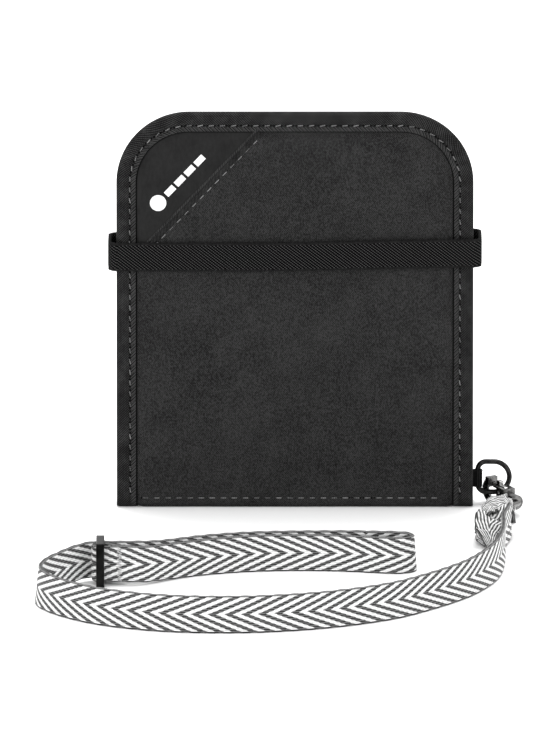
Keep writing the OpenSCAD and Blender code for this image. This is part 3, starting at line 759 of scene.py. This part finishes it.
def on_cover(side, x, z, depth):
    """Points on a cover, at a depth inwards from its outer face."""
    x, z, depth = np.broadcast_arrays(x, z, depth)
    return np.stack([x, side * (HALF_THICK - depth), z], axis=-1)


def cover_sheet(node, side, x, z, outer, inner, material, slot, keep=None):
    """A sheet on a cover in a CAD node's place, from the depths of its outer and inner face."""
    faces = (on_cover(side, x, z, depth) for depth in (outer, inner))
    made = sheet_faces(*faces, np.stack([x, z], -1), keep)
    piece = build(f"{node}_cloth", *made, material, COVERS[side], slot)
    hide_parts(node)


def fold_roll(z):
    """How far a cover's outer face has curved inwards at a height close to the fold."""
    low = np.clip(FOLD_R + UNDER_Z - z, 0, FOLD_R)
    return FOLD_R - np.sqrt(FOLD_R**2 - low**2)


# ---------------- outer cloth

SEAM_Z = 3.5  # of the row of stitches along the bottom
ELASTIC_Z = 90  # of the elastic's middle, where it presses the cloth in
SHELL_CROWN = 0.42
PATCH_LOW = (-53.6, 88.5)  # where the corner patch's slanted edge meets the left tape
PATCH_HIGH = (-11.6, 133.0)  # and the top tape


def past_slant(x, z):
    """How far a point is past the corner patch's slanted edge, towards the corner."""
    along, up = PATCH_HIGH[0] - PATCH_LOW[0], PATCH_HIGH[1] - PATCH_LOW[1]
    return ((z - PATCH_LOW[1]) * along - (x - PATCH_LOW[0]) * up) / math.hypot(along, up)


def dent(values, middle, reach):
    """1 at the middle, and smoothly down to 0 beside it."""
    return np.exp(-(((values - middle) / reach) ** 2))


def shell_crown(side, x, z):
    """How far the outer cloth stands out over the board. It sinks beside the tape, along the
    bottom seam and under the elastic, and lies flatter under the corner patch."""
    inside = inset_at(side, x, z)
    puffed = SHELL_CROWN * ramp_up(inside, BIND_WIDE + 0.2, BIND_WIDE + 2.4)
    groove = 0.35 * dent(inside, BIND_WIDE + 0.25, 0.45)
    seam = 0.16 * dent(z, SEAM_Z, 0.7)
    pressed = 0.1 * dent(z, ELASTIC_Z, 6.5)
    uneven = 0.07 * ripple(x * side, z) * ramp_up(inside, BIND_WIDE, BIND_WIDE + 8)
    if side == FRONT:
        flat = 1 - 0.8 * ramp_up(past_slant(x, z), -1, 1)
        puffed, uneven = puffed * flat, uneven * flat
    slow = (uneven - pressed) * ramp_up(inside, BIND_WIDE, BIND_WIDE + 6)
    return puffed + slow - seam - groove


def bend_at_fold(piece):
    """Bakes a cover cloth's placement into its mesh."""
    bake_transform(piece)


def folded_cloth(
    name, side, depth, under_z, radius, thick, inset, crown, facing, columns, material, slot
):
    """A cloth that runs from under the middle of the fold, round it and up a cover. facing is 1
    if its good side is the cover's outside and -1 if it is the inside."""
    reach = HALF_THICK - depth
    rows = [(y, under_z, 0, -1) for y in np.linspace(0.02, reach - radius, 5)[:-1]]
    for a in np.linspace(0, math.pi / 2, 9):
        out, up = math.sin(a), -math.cos(a)
        rows.append((reach - radius + radius * out, under_z + radius + radius * up, out, up))
    top, bend_z = TOP_Z[side] - inset, TOP_Z[side] - CORNER_R
    heights = np.concatenate([
        np.arange(under_z + radius + 0.5, bend_z, 1.0),
        bend_z + (CORNER_R - inset) * np.sin(np.linspace(0, math.pi / 2, 30)),
    ])  # fmt: skip
    rows = np.array(rows + [(reach, z, 1, 0) for z in heights if z <= top])
    y, z, out, up = (np.repeat(column[:, None], columns, 1) for column in rows.T)
    share = np.linspace(-1, 1, columns)[None]
    x = share * np.minimum(half_width(side, z, inset), HALF_WIDE - inset)
    x = np.where(z >= top - 1e-6, share * STRAIGHT_X, x)
    normal = np.stack([np.zeros_like(x), side * out, up], -1)
    base = np.stack([x, side * y, z], -1)
    good = base + (facing * crown(side, x, z))[..., None] * normal
    reverse = base - facing * thick * normal
    flat = np.stack([x, np.repeat(lengths(rows[:, :2])[:, None], columns, 1)], -1)
    piece = build(name, *sheet_faces(good, reverse, flat), material, slot=slot)
    bend_at_fold(piece)
    return piece


def lining_crown(side, x, z):
    """How far the lining stands in from the board."""
    return 0.06 * (1 + ripple(x + 40, z * side)) * ramp_up(inset_at(side, x, z), 6, 14)


for side in (FRONT, BACK):
    spine_too = side == FRONT
    shell = folded_cloth(
        f"{NAMES[side]}_outer_cloth", side, depth=CLOTH_DEPTH, under_z=UNDER_Z, radius=FOLD_R,
        thick=0.5, inset=1.0, crown=shell_crown, facing=1, columns=121, material=SHELL_CLOTH,
        slot="shell_fabric",
    )  # fmt: skip
    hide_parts(f"{NAMES[side]}_shell", *["spine_shell"] * spine_too)
    lining = folded_cloth(
        f"{NAMES[side]}_lining_cloth", side, depth=3.0, under_z=1.0, radius=0.6, thick=0.4,
        inset=1.2, crown=lining_crown, facing=-1, columns=61, material=LINING_CLOTH,
        slot="lining",
    )  # fmt: skip
    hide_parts(f"{NAMES[side]}_lining", *["spine_lining"] * spine_too)


# ---------------- binding tape


def bind_section():
    """The tape's section from its inner edge on the outer face, round the cover's edge, to the
    inner face and back inside, as (inset, depth) pairs."""
    outer = [
        (7.2, 1.0), (7.1, 0.75), (6.9, 0.42), (6.7, 0.14), (6.4, 0.0), (5.8, 0.02), (5.3, 0.1),
        (4.95, 0.24), (4.75, 0.34), (4.6, 0.37), (4.4, 0.34), (4.15, 0.22), (3.8, 0.1),
        (3.2, 0.02), (2.4, 0.0), (1.7, 0.06), (1.1, 0.2), (0.6, 0.45), (0.25, 0.8), (0.06, 1.2),
    ]  # fmt: skip
    inner = [(i, BIND_DEEP - d) for i, d in outer[::-1]]
    back = [(0.85, BIND_DEEP - 0.8), (0.85, 0.8)]
    return np.array(outer + [(0.0, BIND_DEEP / 2)] + inner + back)


def tape_line(side):
    """A cover's outline, and how far along the row of stitches each of its points is."""
    points, tangents, inwards = outline(side, 0.3, 1.0)
    return points, tangents, inwards, lengths(points + STITCH_INSET * inwards)


def binding(side):
    """Twill tape folded round a cover's edge, from the fold up, over the top and down again."""
    points, _, inwards, along = tape_line(side)
    section = bind_section()
    inset, depth = section[:, 0], section[:, 1]
    stitch = np.cos(2 * math.pi * (along - STITCH_START) / STITCH_PITCH)[:, None]
    valley = 0.08 * dent(inset, STITCH_INSET, 0.5)[None] * (1 - stitch)
    bulge = np.sin(math.pi * np.clip(inset, 0, STITCH_INSET) / STITCH_INSET)[None]
    slow = 0.06 * np.sin(along / 7.3) + 0.05 * np.sin(along / 2.9 + 1)
    pulled = valley + 0.08 + np.clip(bulge, 0, 1) * (slow[:, None] + 0.03 * stitch)
    deep = depth[None] + np.where((depth < BIND_DEEP / 2)[None], pulled, -pulled)
    deep = np.where((np.abs(depth - BIND_DEEP / 2) < 0.01)[None], depth[None], deep)
    roll = fold_roll(points[:, 1])[:, None] * np.clip(1 - deep / (BIND_DEEP / 2), 0, 1)
    place = points[:, None] + inset[None, :, None] * inwards[:, None]
    rings = on_cover(side, place[..., 0], place[..., 1], np.maximum(deep, 0) + roll)
    run = lengths(section)
    made = sweep(rings, along, np.append(np.minimum(run, run[-3] - run), 0.0))
    piece = build(f"{NAMES[side]}_binding_tape", *made, BINDING_TAPE, slot="binding")
    bend_at_fold(piece)
    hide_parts(f"{NAMES[side]}_binding")


def binding_stitches(side):
    """Lockstitches along the tape on both faces of a cover."""
    points, tangents, inwards, along = tape_line(side)
    line = points + STITCH_INSET * inwards
    at = np.arange(STITCH_START, along[-1] - STITCH_START, STITCH_PITCH)
    count = len(at)
    x, z, way_x, way_z = (
        np.interp(at, along, column) for column in (*line.T, *tangents.T)
    )  # fmt: skip
    ways = np.stack([way_x, np.zeros(count), way_z], 1)
    slant = 0.16 * (1 + 0.5 * np.sin(1.7 * np.arange(count)))
    slanted = ways + slant[:, None] * np.stack([-way_z, np.zeros(count), way_x], 1)
    faces = ("outer", TAPE_STITCH_DEPTH, side), ("inner", BIND_DEEP - TAPE_STITCH_DEPTH, -side)
    for face, depth, out in faces:
        places = on_cover(side, x, z, depth)
        normals = np.tile([0.0, out, 0.0], (count, 1))
        stitches(
            f"{NAMES[side]}_binding_stitches_{face}", places, slanted, normals, ROW_THREAD,
            COVERS[side], "thread", TAPE_STITCH, STITCH_THICK,
        )  # fmt: skip
        needle_holes(
            f"{NAMES[side]}_needle_holes_{face}", places, ways, normals, COVERS[side], TAPE_STITCH
        )


def hem_row(name, side, start, end, depth, out, pitch=3.4, material=SEAM_THREAD, length=HEM_STITCH):
    """A straight row of stitches on a cover, between two (x, z) places. out is 1 for its outside
    and -1 for its inside. The rows on the outside have needle holes that show."""
    (x0, z0), (x1, z1) = start, end
    long = math.hypot(x1 - x0, z1 - z0)
    at = (np.arange(int(long / pitch)) + 0.5) * pitch / long
    places = on_cover(side, x0 + (x1 - x0) * at, z0 + (z1 - z0) * at, depth)
    ways = np.tile([x1 - x0, 0.0, z1 - z0], (len(at), 1))
    normals = np.tile([0.0, out * side, 0.0], (len(at), 1))
    body = COVERS[side]
    if out > 0:
        needle_holes(name + "_holes", places, ways, normals, body, length)
    stitches(name, places, ways, normals, material, body, "thread", length, STITCH_THICK)


for side in (FRONT, BACK):
    binding(side)
    binding_stitches(side)
    hem_row(
        f"{NAMES[side]}_bottom_stitches", side, (-53, SEAM_Z), (53, SEAM_Z), CLOTH_DEPTH - 0.26, 1,
        STITCH_PITCH, ROW_THREAD, ROW_STITCH,
    )  # fmt: skip


def spine_tape():
    """The binding tape's ends, folded round the spine's two ends under the fold."""
    section = np.array([
        (6.9, 0.2), (6.5, 0.05), (3.5, 0.02), (1.0, 0.03), (0.3, 0.15), (0.0, 0.6), (0.0, 1.2),
        (0.3, 1.65), (1.0, 1.8), (3.5, 1.8), (6.5, 1.78), (6.9, 1.6), (6.9, 1.4), (0.7, 1.4),
        (0.7, 0.45), (6.9, 0.4),
    ])  # fmt: skip
    y = np.linspace(-HALF_THICK + 2.2, HALF_THICK - 2.2, 17)
    spots = np.append(lengths(section), lengths(section)[-1] + 0.2)
    ends = []
    for end in (-1, 1):
        x = end * (HALF_WIDE - section[:, 0])
        rings = np.stack(np.broadcast_arrays(x[None], y[:, None], section[None, :, 1]), -1)
        ends.append(sweep(rings, y, spots))
    piece = build("spine_end_tape", *joined(ends), BINDING_TAPE, "spine", "binding")
    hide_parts("spine_binding")


spine_tape()


# ---------------- corner patch and its folded band

PATCH_DEPTH = 0.26  # of the patch's face, and of the stitches in its band
BAND_STITCH_X = 0.95  # of the row of stitches, across the band


def patch():
    """Smooth cloth across the top left corner of the front cover, tucked under the tape."""
    slope = (PATCH_HIGH[0] - PATCH_LOW[0]) / (PATCH_HIGH[1] - PATCH_LOW[1])
    z = np.linspace(PATCH_LOW[1] - 2, PATCH_HIGH[1] + 0.6, 56)[:, None]
    left = -half_width(FRONT, z, BIND_WIDE - 0.7)
    right = PATCH_LOW[0] + (z - PATCH_LOW[1]) * slope - 0.8
    x = left + np.maximum(right - left, 0.05) * np.linspace(0, 1, 40)[None]
    z = np.broadcast_to(z, x.shape)
    sunk = 0.5 * (1 - ramp_up(inset_at(FRONT, x, z), BIND_WIDE - 0.1, BIND_WIDE + 0.9))
    outer = PATCH_DEPTH + 0.025 * ripple(2 * x, 2 * z) + sunk
    inner = CLOTH_DEPTH - 0.02 + sunk
    cover_sheet("corner_patch", FRONT, x, z, outer, inner, PATCH_CLOTH, "patch_fabric")


def band():
    """The patch's folded edge: a raised band with a row of stitches along its lower side."""
    low, high = np.array(PATCH_LOW), np.array(PATCH_HIGH)
    way = unit(high - low)
    low, high = low - way * 1.2, high + way * 0.6
    across = np.array([way[1], -way[0]])
    at = np.arange(0, np.linalg.norm(high - low), 0.8)
    section = np.array([
        (-1.95, 0.6), (-1.98, 0.3), (-1.86, 0.06), (-1.6, -0.05), (-1.34, 0.06), (-1.16, 0.3),
        (-1.02, 0.36), (-0.88, 0.26), (-0.6, 0.06), (-0.2, -0.02), (0.25, 0.04), (0.65, 0.2),
        (0.95, 0.3), (1.2, 0.24), (1.45, 0.18), (1.62, 0.3), (1.6, 0.6),
    ])  # fmt: skip
    offset = section[None, :, :1] + 0.04 * np.sin(at / 2.6)[:, None, None]
    place = low + at[:, None, None] * way + offset * across
    rings = on_cover(FRONT, place[..., 0], place[..., 1], section[None, :, 1])
    made = sweep(rings, at, np.append(lengths(section), lengths(section)[-1] + 3.2))
    piece = build("patch_folded_band", *made, BAND_TAPE, "front_cover", "patch_fabric")
    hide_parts("patch_band")
    start, end = low + way * 3.4, high - way * 2.4
    beside = across * BAND_STITCH_X
    hem_row(
        "patch_band_stitches", FRONT, start + beside, end + beside, PATCH_DEPTH, 1, STITCH_PITCH,
        ROW_THREAD, ROW_STITCH,
    )  # fmt: skip


patch()
band()


# ---------------- elastic band


RIB_END = 0.8  # from the elastic's edge to where its ribs stand out fully


def in_plan(path, normal, out, heights):
    """Points beside a path that is seen from above, at some heights."""
    x, y = (path[:, k : k + 1] + normal[:, k : k + 1] * out for k in range(2))
    return np.stack(np.broadcast_arrays(x, y, heights), -1)


def elastic():
    """Ribbed elastic round both covers. It is wider than they are, so it stands off at their
    sides."""
    low, high = cad_box("elastic_band")
    thick, corner, step = 1.1, 2.45, 0.34
    reaches = high[1] - thick / 2, high[0] - thick / 2
    flats = [np.arange(-(reach - corner), reach - corner, step) for reach in reaches]
    quarter = np.linspace(0, math.pi / 2, 13)[:-1]
    path, normal = [], []
    for turn in range(4):
        a = turn * math.pi / 2 - math.pi / 2
        out, way = np.array([math.cos(a), math.sin(a)]), np.array([-math.sin(a), math.cos(a)])
        far, side_reach = reaches[turn % 2], reaches[1 - turn % 2]
        wide = flats[1 - turn % 2]
        path += [out * far + way * s for s in wide]
        normal += [out] * len(wide)
        centre = out * (far - corner) + way * (side_reach - corner)
        bend = [out * math.cos(q) + way * math.sin(q) for q in quarter]
        path += [centre + corner * n for n in bend]
        normal += bend
    path, normal = np.array(path), np.array(normal)
    along = np.append(lengths(path), lengths(path)[-1] + step)
    half = (high[2] - low[2]) / 2
    face = np.linspace(-half + 0.15, half - 0.15, 33)
    section = np.array(
        [(w, 0.5) for w in face] + [(half, 0.2), (half, -0.2)]
        + [(w, -0.5) for w in face[::-6]] + [(-half, -0.2), (-half, 0.2)]
    )  # fmt: skip
    across, through = section[:, 0], section[:, 1] * thick
    ribs = np.sin(2 * math.pi * (along[:-1, None] + RIB_SLOPE * across[None]) / RIB_PITCH)
    inside = np.clip((half - RIB_END - np.abs(across)) / 0.4, 0, 1)[None]
    out = through[None] + 0.12 * ribs * inside * (through > 0.3)[None]
    rise = 1.3 * ramp_up(path[:, 0], -15, 62) - 0.2
    rings = in_plan(path, normal, out, (low[2] + high[2]) / 2 + rise[:, None] + across[None])
    made = sweep(rings, along, np.append(across, across[0]), closed=True)
    piece = build("elastic_band_knit", *made, ELASTIC_KNIT, "elastic", "elastic")
    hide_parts("elastic_band")
    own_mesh(piece)


elastic()


# ---------------- pockets


def cloth_box(node):
    """A flat CAD piece's box, and the depths of its two faces inwards from its cover's outside."""
    low, high = cad_box(node)
    return low, high, *sorted(HALF_THICK - abs(v) for v in (low[1], high[1]))


def pocket(node, side, hem, window=None):
    """A pocket's cloth on the inside of a cover, in its CAD box, with a folded hem along its top.
    window is the zip's opening, as (low x, high x, low z, high z)."""
    low, high, near, far = cloth_box(node)
    x = np.linspace(low[0], high[0], 54)
    z = np.linspace(low[2], high[2], int((high[2] - low[2]) / 2) + 1)
    if window:
        x = np.unique(np.round(np.concatenate([x, window[:2]]), 3))
        z = np.unique(np.round(np.concatenate([z, window[2:]]), 3))
    x, z = np.meshgrid(x, z)
    edge = np.minimum(np.minimum(x - low[0], high[0] - x), np.minimum(z - low[2], high[2] - z))
    rounding = 0.2 * (1 - ramp_up(edge, 0, 1.2))
    hem_rise = 0.16 * ramp_up(z, high[2] - hem - 0.6, high[2] - hem + 0.2) if hem else 0
    valley = 0.1 * dent(edge, HEM_RIM, 0.6)
    top = far - rounding - 0.2 + hem_rise - valley + 0.05 * ripple(1.7 * x, z)
    outer, keep = np.clip(top, near + 0.15, far), None
    if window:
        mid_x, mid_z = ((v[:-1, :-1] + v[1:, 1:]) / 2 for v in (x, z))
        across = (mid_x > window[0]) & (mid_x < window[1])
        keep = ~(across & (mid_z > window[2]) & (mid_z < window[3]))
    cover_sheet(node, side, x, z, outer, near, POCKET_CLOTH, "pocket_fabric", keep)
    left, right = low[0] + HEM_RIM, high[0] - HEM_RIM
    bottom, top = low[2] + HEM_RIM, high[2] - HEM_RIM
    rows = {
        "left": ((left, low[2] + 2), (left, high[2] - 2)),
        "right": ((right, low[2] + 2), (right, high[2] - 2)),
        "bottom": ((low[0] + 3, bottom), (high[0] - 3, bottom)),
        "top": ((low[0] + 3, top), (high[0] - 3, top)),
    }
    for edge_name, (start, end) in rows.items():
        hem_row(f"{node}_stitches_{edge_name}", side, start, end, far - 0.22, -1)


HEM_RIM = 1.6  # from a pocket's edge to its stitches
pocket("passport_pocket", BACK, 8)
for name in ("card_pocket_rear", "card_pocket_middle", "card_pocket_front"):
    pocket(name, BACK, 6)


# ---------------- zip

ZIP_WINDOW = (-46, 46, 98, 108)
pocket("zip_pocket", FRONT, 0, window=ZIP_WINDOW)


def zip_tape(node):
    """Half of the zip's woven tape, with a beaded edge along the teeth."""
    low, high, near, far = cloth_box(node)
    x, z = np.meshgrid(np.linspace(low[0], high[0], 49), np.linspace(low[2], high[2], 13))
    bead = 0.12 * np.cos((z - low[2]) / (high[2] - low[2]) * 4 * math.pi)
    cover_sheet(node, FRONT, x, z, far - 0.14 + bead, near + 0.05, ZIP_TAPE, "zip_tape")


TEETH_PITCH = 1.4


def zip_teeth(node, shift):
    """A row of the coil's teeth."""
    low, high = cad_box(node)
    x = np.arange(low[0] + 0.6 + shift, high[0] - 0.5, TEETH_PITCH)
    places = on_cover(FRONT, x, (low[2] + high[2]) / 2, HALF_THICK + (low[1] + high[1]) / 2)
    upright, out = (np.tile(way, (len(x), 1)) for way in ([0.0, 0.0, 1.0], [0.0, 1.0, 0.0]))
    piece = stitches(
        node + "_coil", places, upright, out, COIL_PLASTIC, "front_cover", "zip_coil",
        length=2.0, thick=0.4, sink=0.12,
    )  # fmt: skip
    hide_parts(node)


zip_tape("zip_tape_upper")
zip_tape("zip_tape_lower")
zip_teeth("zip_teeth_upper", 0.0)
zip_teeth("zip_teeth_lower", TEETH_PITCH / 2)


# ---------------- ring tab

TAB_THICK = 0.5


def ring_tab():
    """A ribbon that passes round the D-ring's bar and back between the covers."""
    low, high = cad_box("ring_tab")
    bar_x, radius, bottom = cad_box("d_ring")[0][0] + 0.9, 1.28, 5.9
    turns = np.linspace(math.radians(102), math.radians(-102), 30)
    bend = [(bar_x + radius * math.cos(a), radius * math.sin(a)) for a in turns]
    tail = np.linspace(low[0], bar_x - 1.4, 8)
    path = np.array([(x, 0.3) for x in tail] + bend + [(x, -0.3) for x in tail[::-1]])
    way = headings(path)
    side = np.stack([way[:, 1], -way[:, 0]], 1)
    tall = high[2] - 0.1 - bottom
    rise, half = np.linspace(0.1, tall - 0.1, 12), TAB_THICK / 2
    section = np.array(
        [(w, half) for w in rise] + [(tall, 0)] + [(w, -half) for w in rise[::-1]] + [(0, 0)]
    )
    rings = in_plan(path, side, section[None, :, 1], bottom + section[None, :, 0])
    made = sweep(rings, lengths(path), np.append(section[:, 0], section[0, 0]))
    piece = build("ring_tab_ribbon", *made, TAB_TAPE, "spine", "tab_ribbon")
    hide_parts("ring_tab")
    loose_end, way, out = (bar_x + 1.5, -0.6, high[2] - 0.5), (1.0, -0.1, 0.35), (0.0, -1.0, 0.0)
    stitches(
        "ring_tab_thread_end", [loose_end], [way], [out], DARK_THREAD, "spine", "thread",
        length=1.3, thick=0.12, sink=0.0,
    )  # fmt: skip


ring_tab()


# ---------------- bar tack on the strap's sewn end


def bar_tack():
    """A close zigzag of pale thread through the webbing."""
    low, high = cad_box("bar_tack")
    rows = 17
    z = np.linspace(low[2] + 0.4, high[2] - 0.4, rows)
    middle_x = np.full(rows, (low[0] + high[0]) / 2)
    places = np.stack([middle_x, np.full(rows, low[1] - 0.02), z], 1)
    tilt = np.where(np.arange(rows) % 2, 0.42, -0.42)
    ways = np.stack([np.ones(rows), np.zeros(rows), tilt], 1)
    out = np.tile([0.0, -1.0, 0.0], (rows, 1))
    piece = stitches(
        "bar_tack_thread", places, ways, out, PALE_THREAD, "strap_slider", "thread",
        length=1.9, thick=0.22, sink=0.25,
    )  # fmt: skip
    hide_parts("bar_tack")
    return piece


tack = bar_tack()


# ---------------- CAD pieces that stay


def finish_cad(node, material, slot, edge=0.0, segments=3):
    """Gives a CAD node its material, and rounds its sharp edges by edge millimetres."""
    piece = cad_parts[node]
    piece.data.materials.clear()
    piece.data.materials.append(material)
    if edge:
        piece.modifiers.new("weld", "WELD").merge_threshold = 0.002 * MM
        bevel = piece.modifiers.new("rounded", "BEVEL")
        bevel.width, bevel.segments = edge * MM, segments
        bevel.limit_method, bevel.angle_limit = "ANGLE", math.radians(38)
        bevel.use_clamp_overlap = True
        piece.modifiers.new("shading", "WEIGHTED_NORMAL")


CAD_FINISHES = [
    ("d_ring", BLACK_METAL, "ring_metal"),
    ("clip_hook", HOOK_METAL, "clip_metal", 0.35),
    ("clip_gate", GATE_METAL, "clip_metal", 0.2),
    ("gate_pin", PIN_METAL, "pin_steel", 0.12, 2),
    ("gate_spring", PIN_METAL, "pin_steel"),
    ("swivel_eye", GUN_METAL, "clip_metal", 0.15),
    ("strap_slider", SLIDER_METAL, "slider_metal", 0.55, 4),
    ("zip_slider", ZIP_METAL, "zip_metal", 0.15),
    ("zip_pull", ZIP_METAL, "zip_metal", 0.12),
    ("zip_stops", ZIP_METAL, "zip_metal", 0.1),
    ("printed_mark", WHITE_PRINT, "print_white"),
]
for cover in NAMES.values():
    CAD_FINISHES += [
        (f"{cover}_board", FIBRE_BOARD, "board"),
        (f"{cover}_foil", METAL_FOIL, "foil"),
    ]
for finish in CAD_FINISHES:
    finish_cad(*finish)


# ---------------- studio

FLOOR_HALF = 12.0  # metres
STUDIO_AIM = (0, -0.03, 0.05)
LIGHTS = {  # place and size in metres, power in watts
    "top_box": ((0, 0.45, 1.3), 1.2, 26),
    "key_box": ((-0.9, -1.1, 0.9), 0.8, 8),
    "fill_box": ((1.1, -0.9, 0.6), 0.8, 3),
}
WORLD_STRENGTH = 0.95


def add_floor():
    """White paper under the object."""
    s = Shader("floor_paper", Specular_IOR_Level=0.1)
    grain = s.noise(60, 2)
    colour = s.ramp(grain, (0.3, 0.93), (0.7, 0.95))
    s.finish(colour, roughness=s.mix(grain, 0.85, 0.95))
    mesh = bpy.data.meshes.new("floor")
    h = FLOOR_HALF
    mesh.from_pydata([(-h, -h, 0), (h, -h, 0), (h, h, 0), (-h, h, 0)], [], [(0, 1, 2, 3)])
    mesh.materials.append(s.material)
    floor = bpy.data.objects.new("floor", mesh)
    bpy.context.scene.collection.objects.link(floor)


def add_light(name, place, size, power):
    """A soft box at place, turned to the object. Places are metres."""
    data = bpy.data.lights.new(name, "AREA")
    data.shape, data.size, data.energy = "SQUARE", size, power
    light = bpy.data.objects.new(name, data)
    place_facing(light, place, STUDIO_AIM)
    light.visible_camera = False


def add_studio():
    """The floor, the three soft boxes and the even light from all round."""
    add_floor()
    for name, light in LIGHTS.items():
        add_light(name, *light)
    world = bpy.data.worlds.new("studio")
    bpy.context.scene.world = world
    world.use_nodes = True
    background = world.node_tree.nodes["Background"]
    background.inputs["Color"].default_value = (1, 1, 1, 1)
    background.inputs["Strength"].default_value = WORLD_STRENGTH
    bpy.context.scene.view_settings.view_transform = "Standard"


add_studio()
